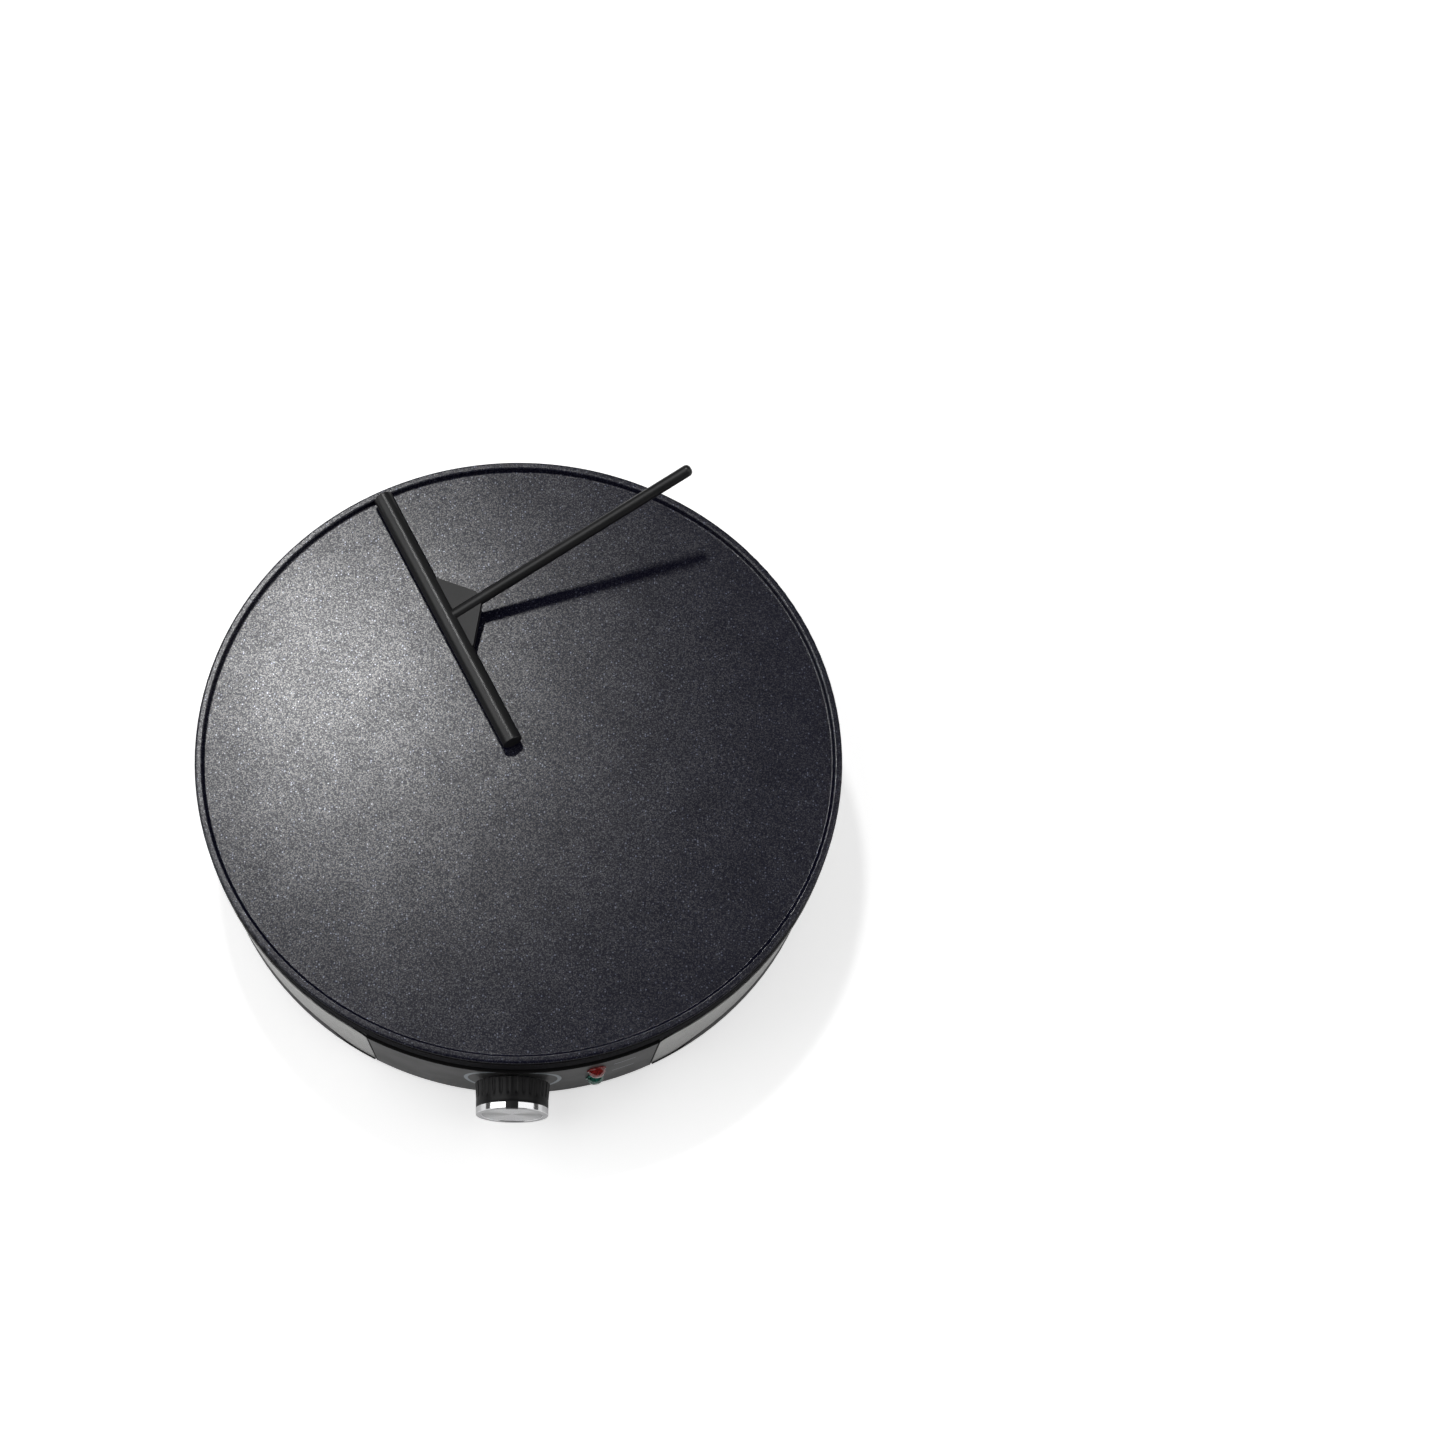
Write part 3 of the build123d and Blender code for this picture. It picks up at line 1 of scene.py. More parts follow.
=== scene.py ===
import bpy
import bmesh
import json
from math import cos, pi, radians, sin, tan
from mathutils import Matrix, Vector


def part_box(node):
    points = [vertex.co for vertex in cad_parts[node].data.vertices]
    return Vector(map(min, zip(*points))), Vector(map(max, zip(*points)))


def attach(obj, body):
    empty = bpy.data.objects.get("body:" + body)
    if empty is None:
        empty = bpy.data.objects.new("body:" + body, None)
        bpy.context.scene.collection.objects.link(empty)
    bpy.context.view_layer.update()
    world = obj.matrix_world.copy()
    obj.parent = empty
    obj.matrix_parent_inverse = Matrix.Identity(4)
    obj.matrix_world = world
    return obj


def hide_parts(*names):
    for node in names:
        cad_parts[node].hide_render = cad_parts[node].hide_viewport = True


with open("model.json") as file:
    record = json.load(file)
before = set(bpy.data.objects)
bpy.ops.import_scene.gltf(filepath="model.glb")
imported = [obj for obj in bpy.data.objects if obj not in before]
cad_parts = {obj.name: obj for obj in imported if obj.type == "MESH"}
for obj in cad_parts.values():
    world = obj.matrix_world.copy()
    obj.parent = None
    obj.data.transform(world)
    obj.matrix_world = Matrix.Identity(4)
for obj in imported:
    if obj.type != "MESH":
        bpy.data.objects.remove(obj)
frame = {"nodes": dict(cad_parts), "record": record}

# A fresh session may hold a starter cube, lamp and camera; none of them belongs to the object.
for start_object in ("Cube", "Light", "Camera"):
    if start_object in bpy.data.objects:
        bpy.data.objects.remove(bpy.data.objects[start_object])
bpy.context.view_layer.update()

# ---------------------------------------------------------------- housing tub and bottom cover
# The tub is one moulding of black heat-resistant plastic with a finely eroded surface; the
# round cover of the same plastic is screwed to a ledge underneath. Edges are a little glossier, and their
# colour is lighter as a painted highlight.


def part(tree, kind, sockets=None, **settings):
    """Adds one shader node, sets its options, and joins or fills its sockets."""
    new = tree.nodes.new("ShaderNode" + kind)
    for name, value in settings.items():
        setattr(new, name, value)
    for name, value in (sockets or {}).items():
        if isinstance(value, bpy.types.NodeSocket):
            tree.links.new(value, new.inputs[name])
        else:
            new.inputs[name].default_value = value
    return new


def maths(tree, operation, *values):
    """The result of one Math node on sockets or plain numbers."""
    return part(tree, "Math", dict(enumerate(values)), operation=operation).outputs[0]


def vector_maths(tree, operation, first, second=None):
    """The result of one Vector Math node: a number for a length or a dot product."""
    values = {0: first}
    if second is not None:
        values["Scale" if operation == "SCALE" else 1] = second
    results = part(tree, "VectorMath", values, operation=operation).outputs
    return results["Value" if operation in ("LENGTH", "DOT_PRODUCT") else "Vector"]


def finish_group(name, inputs, outputs, kind="NodeSocketFloat"):
    """Opens a shader node group with number inputs, and outputs that are all of one kind."""
    group = bpy.data.node_groups.new(name, "ShaderNodeTree")
    for label, value in inputs.items():
        socket = group.interface.new_socket(label, in_out="INPUT", socket_type="NodeSocketFloat")
        socket.default_value = value
    for label in outputs:
        group.interface.new_socket(label, in_out="OUTPUT", socket_type=kind)
    return group, group.nodes.new("NodeGroupInput").outputs, group.nodes.new("NodeGroupOutput").inputs


def scaled_noise(tree, size, detail=2.0, roughness=0.5):
    """Noise whose lumps are about size metres across, in the object's own space."""
    place = part(tree, "TexCoord").outputs["Object"]
    rate = maths(tree, "DIVIDE", 1.0, size)
    return part(tree, "TexNoise", {"Vector": place, "Scale": rate, "Detail": detail,
                                   "Roughness": roughness}).outputs["Fac"]


def range_of(tree, value, low, high, out_low=0.0, out_high=1.0):
    """Spreads value from low..high to out_low..out_high, and cuts it off there."""
    return part(tree, "MapRange", {"Value": value, "From Min": low, "From Max": high,
                                   "To Min": out_low, "To Max": out_high}).outputs["Result"]


moulded_grain, grain_in, grain_out = finish_group(
    "moulded_grain", {"Size": 0.0006, "Handling Size": 0.03}, ("Height", "Handling"))
lumps = scaled_noise(moulded_grain, grain_in["Size"], detail=3.0)
moulded_grain.links.new(lumps, grain_out["Height"])
smears = scaled_noise(moulded_grain, grain_in["Handling Size"], detail=4.0, roughness=0.65)
moulded_grain.links.new(range_of(moulded_grain, smears, 0.35, 0.7), grain_out["Handling"])

# Mask for a painted highlight: sharp edges get a lighter colour, standing in for the light they catch.
painted_edge_highlight, edge_in, edge_out = finish_group("painted_edge_highlight", {"Width": 0.0008}, ("Mask",))
round_normal = part(painted_edge_highlight, "Bevel", {"Radius": edge_in["Width"]}, samples=4).outputs["Normal"]
face_normal = part(painted_edge_highlight, "NewGeometry").outputs["Normal"]
edge_turn = vector_maths(painted_edge_highlight, "DOT_PRODUCT", round_normal, face_normal)
painted_edge_highlight.links.new(range_of(painted_edge_highlight, edge_turn, 0.995, 0.9), edge_out["Mask"])


def open_material(name):
    """A new node material with its Principled shader."""
    material = bpy.data.materials.new(name)
    material.use_nodes = True
    return material, material.node_tree, material.node_tree.nodes["Principled BSDF"]


def tint(tree, mask, low, high):
    """Blends two colours by a mask; each is plain or comes out of other nodes."""
    ends = [end if isinstance(end, bpy.types.NodeSocket) else (*end, 1.0) for end in (low, high)]
    return part(tree, "Mix", {0: mask, 6: ends[0], 7: ends[1]}, data_type="RGBA").outputs[2]


def moulded_plastic(name, colour, smear_and_highlight_colour, rough=0.5, specular=0.4):
    """Injection-moulded plastic: eroded grain, faint handling smears, and slightly glossier edges whose
    colour carries a painted highlight.
    """
    material, tree, shader = open_material(name)
    grain = part(tree, "Group", node_tree=moulded_grain).outputs
    edges = part(tree, "Group", node_tree=painted_edge_highlight).outputs["Mask"]
    # Handling smears and the painted edge highlight both lighten the colour towards the second colour.
    smears_and_edge_highlight = maths(tree, "MULTIPLY_ADD", grain["Handling"], 0.35, edges)
    tree.links.new(tint(tree, smears_and_edge_highlight, colour, smear_and_highlight_colour), shader.inputs["Base Color"])
    gloss = maths(tree, "MULTIPLY_ADD", smears_and_edge_highlight, -0.09, rough)
    tree.links.new(gloss, shader.inputs["Roughness"])
    bump = part(tree, "Bump", {"Height": grain["Height"], "Strength": 1.0, "Distance": 0.00002})
    tree.links.new(bump.outputs["Normal"], shader.inputs["Normal"])
    shader.inputs["Specular IOR Level"].default_value = specular
    return material


def dress(material, *names):
    """Gives CAD pieces this material in every slot."""
    for name in names:
        slots = frame["nodes"][name].data.materials
        for index in range(len(slots)):
            slots[index] = material


housing_plastic = moulded_plastic("housing_plastic", (0.012, 0.012, 0.013), (0.035, 0.035, 0.037))
dress(housing_plastic, "housing_shell", "bottom_cover")

# ---------------------------------------------------------------- feet and cord inlet bush
# Soft black rubber: four push-in feet under the tub, and the flanged bush in the rear wall
# that the supply cord passes through. Rubber picks up pale dust.


def soft_rubber(name, colour, dusty):
    """Moulded rubber: matt, with a bloom of dust that gathers in blotches."""
    material, tree, shader = open_material(name)
    bloom = range_of(tree, scaled_noise(tree, 0.006, detail=5.0, roughness=0.7), 0.45, 0.75, 0.0, 0.6)
    tree.links.new(tint(tree, bloom, colour, dusty), shader.inputs["Base Color"])
    pores = scaled_noise(tree, 0.0004, detail=2.0)
    tree.links.new(range_of(tree, pores, 0.2, 0.8, 0.68, 0.85), shader.inputs["Roughness"])
    bump = part(tree, "Bump", {"Height": pores, "Strength": 1.0, "Distance": 0.00003})
    tree.links.new(bump.outputs["Normal"], shader.inputs["Normal"])
    shader.inputs["Specular IOR Level"].default_value = 0.3
    return material


foot_rubber = soft_rubber("foot_rubber", (0.016, 0.016, 0.016), (0.07, 0.068, 0.065))
dress(foot_rubber, "foot_front_left", "foot_front_right", "foot_rear_left", "foot_rear_right",
      "cord_gland")

# ---------------------------------------------------------------- terminal block and leads
# White thermoset block screwed to two floor bosses, and five silicone-insulated leads: brown
# live and switched leads, blue neutral, white fuse lead and the green and yellow earth.
block_white = moulded_plastic("block_white", (0.72, 0.71, 0.67), (0.8, 0.79, 0.76), rough=0.35)
dress(block_white, "terminal_block")


def silicone_sleeve(name, colour, stripe=None):
    """Extruded silicone: slightly waxy, powdered in places, with an optional second colour."""
    material, tree, shader = open_material(name)
    powder = range_of(tree, scaled_noise(tree, 0.004, detail=4.0), 0.45, 0.8, 0.0, 0.35)
    pale = tuple(0.6 * c + 0.25 for c in colour)
    skin = tint(tree, powder, colour, pale)
    if stripe:
        place = part(tree, "TexCoord").outputs["Object"]
        wave = part(tree, "TexWave", {"Vector": place, "Scale": 60.0}, bands_direction="DIAGONAL")
        skin = tint(tree, range_of(tree, wave.outputs["Fac"], 0.48, 0.52), skin, stripe)
    tree.links.new(skin, shader.inputs["Base Color"])
    shader.inputs["Roughness"].default_value = 0.55
    return material


dress(silicone_sleeve("lead_brown", (0.12, 0.045, 0.02)), "live_lead", "switched_lead")
dress(silicone_sleeve("lead_blue", (0.02, 0.08, 0.3)), "neutral_lead")
dress(silicone_sleeve("lead_white", (0.62, 0.61, 0.58)), "fuse_lead")
dress(silicone_sleeve("lead_earth", (0.1, 0.32, 0.04), stripe=(0.75, 0.6, 0.04)), "earth_lead")

# ---------------------------------------------------------------- plated steel small parts
# Screws, clips, clamps, spacers, brackets and pins: pressed or turned mild steel with bright
# zinc plating that is slightly cloudy in blotches.


def metal_skin(name, colour, dull, rough, blotch=0.004):
    """Bare or plated metal: cloudy colour and gloss in blotches, and a fine surface grain."""
    material, tree, shader = open_material(name)
    cloud = range_of(tree, scaled_noise(tree, blotch, detail=5.0, roughness=0.6), 0.3, 0.7)
    tree.links.new(tint(tree, cloud, colour, dull), shader.inputs["Base Color"])
    tree.links.new(range_of(tree, cloud, 0.0, 1.0, rough, rough + 0.14), shader.inputs["Roughness"])
    bump = part(tree, "Bump", {"Height": scaled_noise(tree, 0.0003), "Strength": 1.0, "Distance": 0.000006})
    tree.links.new(bump.outputs["Normal"], shader.inputs["Normal"])
    shader.inputs["Metallic"].default_value = 1.0
    return material


zinc = metal_skin("zinc_plate", (0.62, 0.62, 0.6), (0.45, 0.46, 0.47), 0.28)
dress(zinc, "plate_screws", "cover_screws", "panel_screws", "bracket_screws", "block_screws",
      "clamp_screws", "clip_screws", "earth_screw", "element_clamps", "sensor_clip", "fuse_clip",
      "plate_spacers", "thermostat_bracket", "element_pins", "knob_clip", "thermostat_spindle")

# ---------------------------------------------------------------- thermostat
# Pale phenolic and steatite body, moulded in two halves and screwed to an upright bracket
# behind the knob; two stamped brass blades at its back take the leads.
phenolic = moulded_plastic("phenolic_body", (0.5, 0.45, 0.36), (0.62, 0.58, 0.5), rough=0.4)
dress(phenolic, "thermostat")
dress(metal_skin("brass_blade", (0.75, 0.55, 0.22), (0.55, 0.38, 0.16), 0.25), "thermostat_tabs")

# ---------------------------------------------------------------- pilot lamps
# Natural nylon tubes hold a neon bulb each behind the panel; the lenses are cut like jewels
# in clear red and green plastic and press into the panel from the front.
nylon = moulded_plastic("natural_nylon", (0.62, 0.6, 0.54), (0.7, 0.69, 0.64), rough=0.45)
dress(nylon, "red_lamp_holder", "green_lamp_holder")


def clear_moulding(name, colour, through):
    """Clear coloured plastic or glass with faint flow marks in its gloss."""
    material, tree, shader = open_material(name)
    flow = scaled_noise(tree, 0.003, detail=3.0)
    deep = tuple(0.6 * c for c in colour)
    tree.links.new(tint(tree, flow, deep, colour), shader.inputs["Base Color"])
    tree.links.new(range_of(tree, flow, 0.3, 0.7, 0.03, 0.08), shader.inputs["Roughness"])
    shader.inputs["Transmission Weight"].default_value = through
    shader.inputs["IOR"].default_value = 1.5
    shader.inputs["Coat Weight"].default_value = 0.6
    shader.inputs["Coat Roughness"].default_value = 0.03
    return material


dress(clear_moulding("neon_glass", (0.9, 0.86, 0.8), 0.9), "red_lamp_bulb", "green_lamp_bulb")


def mesh_piece(name, verts, faces, material, smooth=True):
    """A new piece from points and faces, with its faces turned outwards."""
    mesh = bpy.data.meshes.new(name)
    mesh.from_pydata([tuple(v) for v in verts], [], faces)
    mesh.validate()
    shape = bmesh.new()
    shape.from_mesh(mesh)
    bmesh.ops.remove_doubles(shape, verts=shape.verts, dist=1e-7)
    bmesh.ops.recalc_face_normals(shape, faces=shape.faces)
    for face in shape.faces:
        face.smooth = smooth
    shape.to_mesh(mesh)
    shape.free()
    mesh.materials.append(material)
    piece = bpy.data.objects.new(name, mesh)
    bpy.context.collection.objects.link(piece)
    return piece


def soften(piece, width, limit=35):
    """Rounds the piece's sharp edges a little, and keeps its flats flat."""
    bevel = piece.modifiers.new("edges", "BEVEL")
    bevel.width = width
    bevel.segments = 2
    bevel.limit_method = "ANGLE"
    bevel.angle_limit = radians(limit)
    bevel.harden_normals = True


lamp_azimuth = radians(14.6)
wall_lean = radians(4.5)
lens_out = Vector((sin(lamp_azimuth) * cos(wall_lean), -cos(lamp_azimuth) * cos(wall_lean), -sin(wall_lean)))
lens_right = Vector((cos(lamp_azimuth), sin(lamp_azimuth), 0.0))
lens_up = lens_right.cross(lens_out)
wall_top_r, wall_top_z = 0.1848, -0.0146
lens_proud = 0.00085
lens_cuts = 8
# each step of a lens: its distance out, its radius, and 1 where its corners sit half a cut on
lens_steps = ((0.0, 0.00545, 0), (0.0007, 0.00545, 0), (0.0010, 0.0050, 1), (0.0027, 0.0045, 0),
              (0.0041, 0.0034, 1), (0.0049, 0.0020, 0))
lamp_rows = (("red", -0.0289, clear_moulding("lens_red", (0.5, 0.012, 0.01), 0.6)),
             ("green", -0.0499, clear_moulding("lens_green", (0.008, 0.26, 0.18), 0.6)))
for lamp_colour, lamp_z, lens_material in lamp_rows:
    seat_r = wall_top_r + (lamp_z - wall_top_z) * tan(wall_lean) + lens_proud
    lens_seat = Vector((sin(lamp_azimuth) * seat_r, -cos(lamp_azimuth) * seat_r, lamp_z))
    lens_points = []
    for step_out, step_r, step_turn in lens_steps:
        for cut in range(lens_cuts):
            angle = 2 * pi * (cut + 0.5 * step_turn) / lens_cuts
            lens_points.append(lens_seat + lens_out * step_out
                               + (lens_right * cos(angle) + lens_up * sin(angle)) * step_r)
    lens_faces = [tuple(reversed(range(lens_cuts)))]
    for step in range(len(lens_steps) - 1):
        lower = step * lens_cuts
        shift = lens_steps[step + 1][2] - lens_steps[step][2]
        for cut in range(lens_cuts):
            here, there = lower + cut, lower + (cut + 1) % lens_cuts
            above, beyond = here + lens_cuts, there + lens_cuts
            if shift == 0:
                lens_faces.append((here, there, beyond, above))
            elif shift == 1:
                lens_faces += [(here, there, above), (there, beyond, above)]
            else:
                lens_faces += [(here, beyond, above), (here, there, beyond)]
    last = (len(lens_steps) - 1) * lens_cuts
    lens_faces.append(tuple(last + cut for cut in range(lens_cuts)))
    lens = mesh_piece(lamp_colour + "_jewel", lens_points, lens_faces, lens_material, smooth=False)
    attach(lens, "crepe_maker")
    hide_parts(lamp_colour + "_lens")

# ---------------------------------------------------------------- front control panel
# Curved black moulding with a satin grey film on its front face, printed with a pale ring
# round the knob and a short rule beside each lamp. Off the film, its top and side faces are painted
# near-black and matt as painted shade in the gaps by the band and under the plate. It stands a little proud
# of the steel band.
knob_joint = next(j for j in frame["record"]["behaviour"]["joints"] if j["name"] == "thermostat_knob")
knob_centre = Vector(knob_joint["pos_m"])
dial_r = 0.0262
dial_w = 0.0022
rule_azimuth = radians(19.8)
rule_half_l = 0.0065
rule_half_h = 0.00045
rule_heights = (-0.0302, -0.0486)
panel_r = 0.184
full_facing = 0.9

# The group finds the film's area: where the face looks outwards, within the panel's width and
# below its top edge. It also gives the angle round the tub and the height, to place the print.
front_face, front_in, front_out = finish_group(
    "front_face", {"Softness": 0.25, "Half Width": 0.4475, "Top": -0.0158}, ("Front", "Azimuth", "Rise"))
front_place = part(front_face, "TexCoord").outputs
front_axes = part(front_face, "SeparateXYZ", {0: front_place["Object"]}).outputs
front_flat = part(front_face, "CombineXYZ", {"X": front_axes["X"], "Y": front_axes["Y"]}).outputs[0]
front_radial = vector_maths(front_face, "NORMALIZE", front_flat)
front_dot = vector_maths(front_face, "DOT_PRODUCT", front_place["Normal"], front_radial)
front_low = maths(front_face, "SUBTRACT", full_facing, front_in["Softness"])
front_back = maths(front_face, "MULTIPLY", front_axes["Y"], -1.0)
front_turn = maths(front_face, "ARCTAN2", front_axes["X"], front_back)
front_side = maths(front_face, "ABSOLUTE", front_turn)
front_side = maths(front_face, "LESS_THAN", front_side, front_in["Half Width"])
front_under = maths(front_face, "LESS_THAN", front_axes["Z"], front_in["Top"])
front_film = maths(front_face, "MULTIPLY", front_side, front_under)
front_facing = range_of(front_face, front_dot, front_low, full_facing)
front_film = maths(front_face, "MULTIPLY", front_facing, front_film)
front_face.links.new(front_film, front_out["Front"])
front_face.links.new(front_turn, front_out["Azimuth"])
front_face.links.new(front_axes["Z"], front_out["Rise"])

panel_paint, paint_tree, paint_shader = open_material("panel_paint")
paint_front = part(paint_tree, "Group", node_tree=front_face).outputs
paint_place = part(paint_tree, "TexCoord").outputs["Object"]
from_knob = vector_maths(paint_tree, "SUBTRACT", paint_place, knob_centre)
flat_place = vector_maths(paint_tree, "MULTIPLY", from_knob, (1.0, 0.0, 1.0))
knob_reach = vector_maths(paint_tree, "LENGTH", flat_place)
ring_offset = maths(paint_tree, "SUBTRACT", knob_reach, dial_r)
ring_far = maths(paint_tree, "ABSOLUTE", ring_offset)
print_mask = range_of(paint_tree, ring_far, dial_w / 2 + 0.0002, dial_w / 2 - 0.0002)
rule_run = maths(paint_tree, "SUBTRACT", paint_front["Azimuth"], rule_azimuth)
rule_run = maths(paint_tree, "ABSOLUTE", rule_run)
rule_run = maths(paint_tree, "LESS_THAN", rule_run, rule_half_l / panel_r)
for rule_height in rule_heights:
    rule_off = maths(paint_tree, "SUBTRACT", paint_front["Rise"], rule_height)
    rule_off = maths(paint_tree, "ABSOLUTE", rule_off)
    rule = maths(paint_tree, "LESS_THAN", rule_off, rule_half_h)
    rule = maths(paint_tree, "MULTIPLY", rule, rule_run)
    print_mask = maths(paint_tree, "MAXIMUM", print_mask, rule)
paint_flake = range_of(paint_tree, scaled_noise(paint_tree, 0.0005, detail=2.0), 0.3, 0.75)
paint_skin = tint(paint_tree, paint_flake, (0.043, 0.043, 0.0445), (0.075, 0.075, 0.077))
printed = tint(paint_tree, print_mask, paint_skin, (0.38, 0.42, 0.45))
# Off the film the colour is near-black: painted shade in the gaps beside the band and under the plate's
# skirt.
film_with_gap_shade = tint(paint_tree, paint_front["Front"], (0.002, 0.002, 0.0022), printed)
paint_tree.links.new(film_with_gap_shade, paint_shader.inputs["Base Color"])
paint_tree.links.new(range_of(paint_tree, paint_front["Front"], 0.0, 1.0, 0.0, 0.35),
                     paint_shader.inputs["Metallic"])
paint_smear = scaled_noise(paint_tree, 0.02, detail=4.0)
paint_gloss = range_of(paint_tree, paint_smear, 0.3, 0.7, 0.4, 0.48)
paint_tree.links.new(part(paint_tree, "Mix", {0: paint_front["Front"], 2: 0.95, 3: paint_gloss}).outputs[0],
                     paint_shader.inputs["Roughness"])
paint_peel = part(paint_tree, "Bump", {"Height": scaled_noise(paint_tree, 0.0012), "Strength": 1.0,
                                       "Distance": 0.00001})
paint_tree.links.new(paint_peel.outputs["Normal"], paint_shader.inputs["Normal"])
paint_shader.inputs["Specular IOR Level"].default_value = 0.35
dress(panel_paint, "front_panel")

# ---------------------------------------------------------------- steel band
# Thin stainless strip, belt-brushed along its length and wrapped round the tub from one side
# of the panel to the other; its lower edge sweeps down beside the panel.
band_r = 0.185
brushed_lines, lines_in, lines_out = finish_group(
    "brushed_lines", {"Line": 0.00025, "Length": 0.04}, ("Height", "Streak"))
band_place = part(brushed_lines, "TexCoord").outputs["Object"]
band_axes = part(brushed_lines, "SeparateXYZ", {0: band_place}).outputs
band_turn = maths(brushed_lines, "ARCTAN2", band_axes["Y"], band_axes["X"])
band_run = maths(brushed_lines, "MULTIPLY", band_turn, band_r)
run_rate = maths(brushed_lines, "DIVIDE", band_run, lines_in["Length"])
rise_rate = maths(brushed_lines, "DIVIDE", band_axes["Z"], lines_in["Line"])
strip = part(brushed_lines, "CombineXYZ", {"X": run_rate, "Y": rise_rate}).outputs[0]
line_noise = part(brushed_lines, "TexNoise", {"Vector": strip, "Scale": 1.0, "Detail": 3.0,
                                              "Roughness": 0.65}).outputs["Fac"]
brushed_lines.links.new(line_noise, lines_out["Height"])
brushed_lines.links.new(range_of(brushed_lines, line_noise, 0.35, 0.65), lines_out["Streak"])

band_steel, band_tree, band_shader = open_material("brushed_stainless")
band_lines = part(band_tree, "Group", node_tree=brushed_lines).outputs
band_tree.links.new(tint(band_tree, band_lines["Streak"], (0.37, 0.37, 0.36), (0.62, 0.62, 0.61)),
                    band_shader.inputs["Base Color"])
band_tree.links.new(range_of(band_tree, band_lines["Streak"], 0.0, 1.0, 0.22, 0.42),
                    band_shader.inputs["Roughness"])
band_bump = part(band_tree, "Bump", {"Height": band_lines["Height"], "Strength": 1.0, "Distance": 0.00002})
band_tree.links.new(band_bump.outputs["Normal"], band_shader.inputs["Normal"])
band_shader.inputs["Metallic"].default_value = 1.0
band_shader.inputs["Anisotropic"].default_value = 0.6
band_shader.inputs["Anisotropic Rotation"].default_value = 0.25
band_tangent = part(band_tree, "Tangent", direction_type="RADIAL", axis="Z").outputs[0]
band_tree.links.new(band_tangent, band_shader.inputs["Tangent"])
dress(band_steel, "steel_band")

# ---------------------------------------------------------------- thermostat knob
# Fluted black grip with a pointer, a bright plated ring let in round its front, and a thin
# aluminium disc let in at the front, whose turned face has two bright and two dark fans painted into its
# colour as painted highlight and shade.
knob_tilt = radians(2.0)
knob_out = Vector((0.0, -cos(knob_tilt), -sin(knob_tilt)))
knob_up = Vector((0.0, -sin(knob_tilt), cos(knob_tilt)))
knob_right = Vector((1.0, 0.0, 0.0))
knob_r = 0.0202
knob_back = 0.0016
knob_shoulder = 0.0156
knob_face = 0.0195
disc_r = 0.01675


def knob_point(r, angle, out):
    """A point of the knob, by radius, angle from its top, and distance in front of the panel."""
    return knob_centre + knob_out * out + (knob_up * cos(angle) + knob_right * sin(angle)) * r


def turned(name, profile, material, sides, ripple=None):
    """Turns a profile of (radius, out) round the knob's axis; ripple takes metal off a radius."""
    points, faces = [], []
    for r, out in profile:
        for side in range(sides):
            angle = 2 * pi * side / sides
            cut = ripple(angle, out) if ripple and r > knob_r - 0.0005 else 0.0
            points.append(knob_point(r - cut, angle, out))
    for row in range(len(profile) - 1):
        for side in range(sides):
            here, there = row * sides + side, row * sides + (side + 1) % sides
            faces.append((here, there, there + sides, here + sides))
    return mesh_piece(name, points, faces, material)


flutes = 30
flute_depth = 0.00055
flute_start, flute_end = 0.0025, 0.0112
flute_fade = 0.0022


def flute(angle, out):
    """Depth of the finger flutes: rounded grooves that run out before the smooth front band."""
    if out < knob_back + 0.0003:
        return 0.0
    fade = min(1.0, max(0.0, (flute_end - out) / flute_fade))
    wave = max(0.0, cos(flutes * angle + pi))
    return flute_depth * fade ** 0.5 * wave ** 0.7


knob_plastic = moulded_plastic("knob_plastic", (0.003, 0.003, 0.0035), (0.009, 0.009, 0.01), rough=0.4,
                               specular=0.22)
bore_r, hub_r, wall_r = 0.00305, 0.006, 0.018
pocket = 0.0134
skirt_r, skirt_lip = 0.0209, 0.0004
rib_r = 0.02088
rib_rows = 12
seat_r, seat_out = 0.0168, 0.0178
edge = 0.0002
grip_profile = [(0.0, pocket), (bore_r, pocket), (bore_r, knob_back), (hub_r, knob_back), (hub_r, pocket),
                (wall_r, pocket), (wall_r, knob_back), (skirt_r - 3 * edge, knob_back),
                (skirt_r - edge, knob_back + edge / 2), (skirt_r, knob_back + skirt_lip),
                (rib_r, knob_back + 0.0007)]
for row in range(1, rib_rows + 1):
    share = row / rib_rows
    grip_profile.append((rib_r + (knob_r - rib_r) * share, flute_start + (flute_end - flute_start) * share))
grip_profile += [(knob_r, pocket - 2 * edge), (knob_r, knob_shoulder - edge), (knob_r - edge, knob_shoulder),
                 (seat_r, knob_shoulder), (seat_r, seat_out), (0.0, seat_out)]
grip = turned("fluted_grip", grip_profile, knob_plastic, 360, flute)
soften(grip, 0.0001, limit=50)

pointer_half = 0.0034
pointer_steps = 6
pointer_points, pointer_faces = [], []
for out in (knob_shoulder - edge, knob_face):
    for reach in (seat_r, knob_r):
        for step in range(pointer_steps + 1):
            across = pointer_half * (2 * step / pointer_steps - 1)
            rise = (reach ** 2 - across ** 2) ** 0.5
            pointer_points.append(knob_centre + knob_out * out + knob_up * rise + knob_right * across)
pointer_row = pointer_steps + 1
for step in range(pointer_steps):
    for low, high in ((0, 1), (2, 3), (0, 2), (1, 3)):
        pointer_faces.append((low * pointer_row + step, low * pointer_row + step + 1,
                              high * pointer_row + step + 1, high * pointer_row + step))
for step in (0, pointer_steps):
    pointer_faces.append((step, pointer_row + step, 3 * pointer_row + step, 2 * pointer_row + step))
pointer = mesh_piece("knob_pointer", pointer_points, pointer_faces, knob_plastic, smooth=False)
soften(pointer, 0.0002)
for knob_piece in (grip, pointer):
    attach(knob_piece, "knob")
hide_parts("knob_grip")

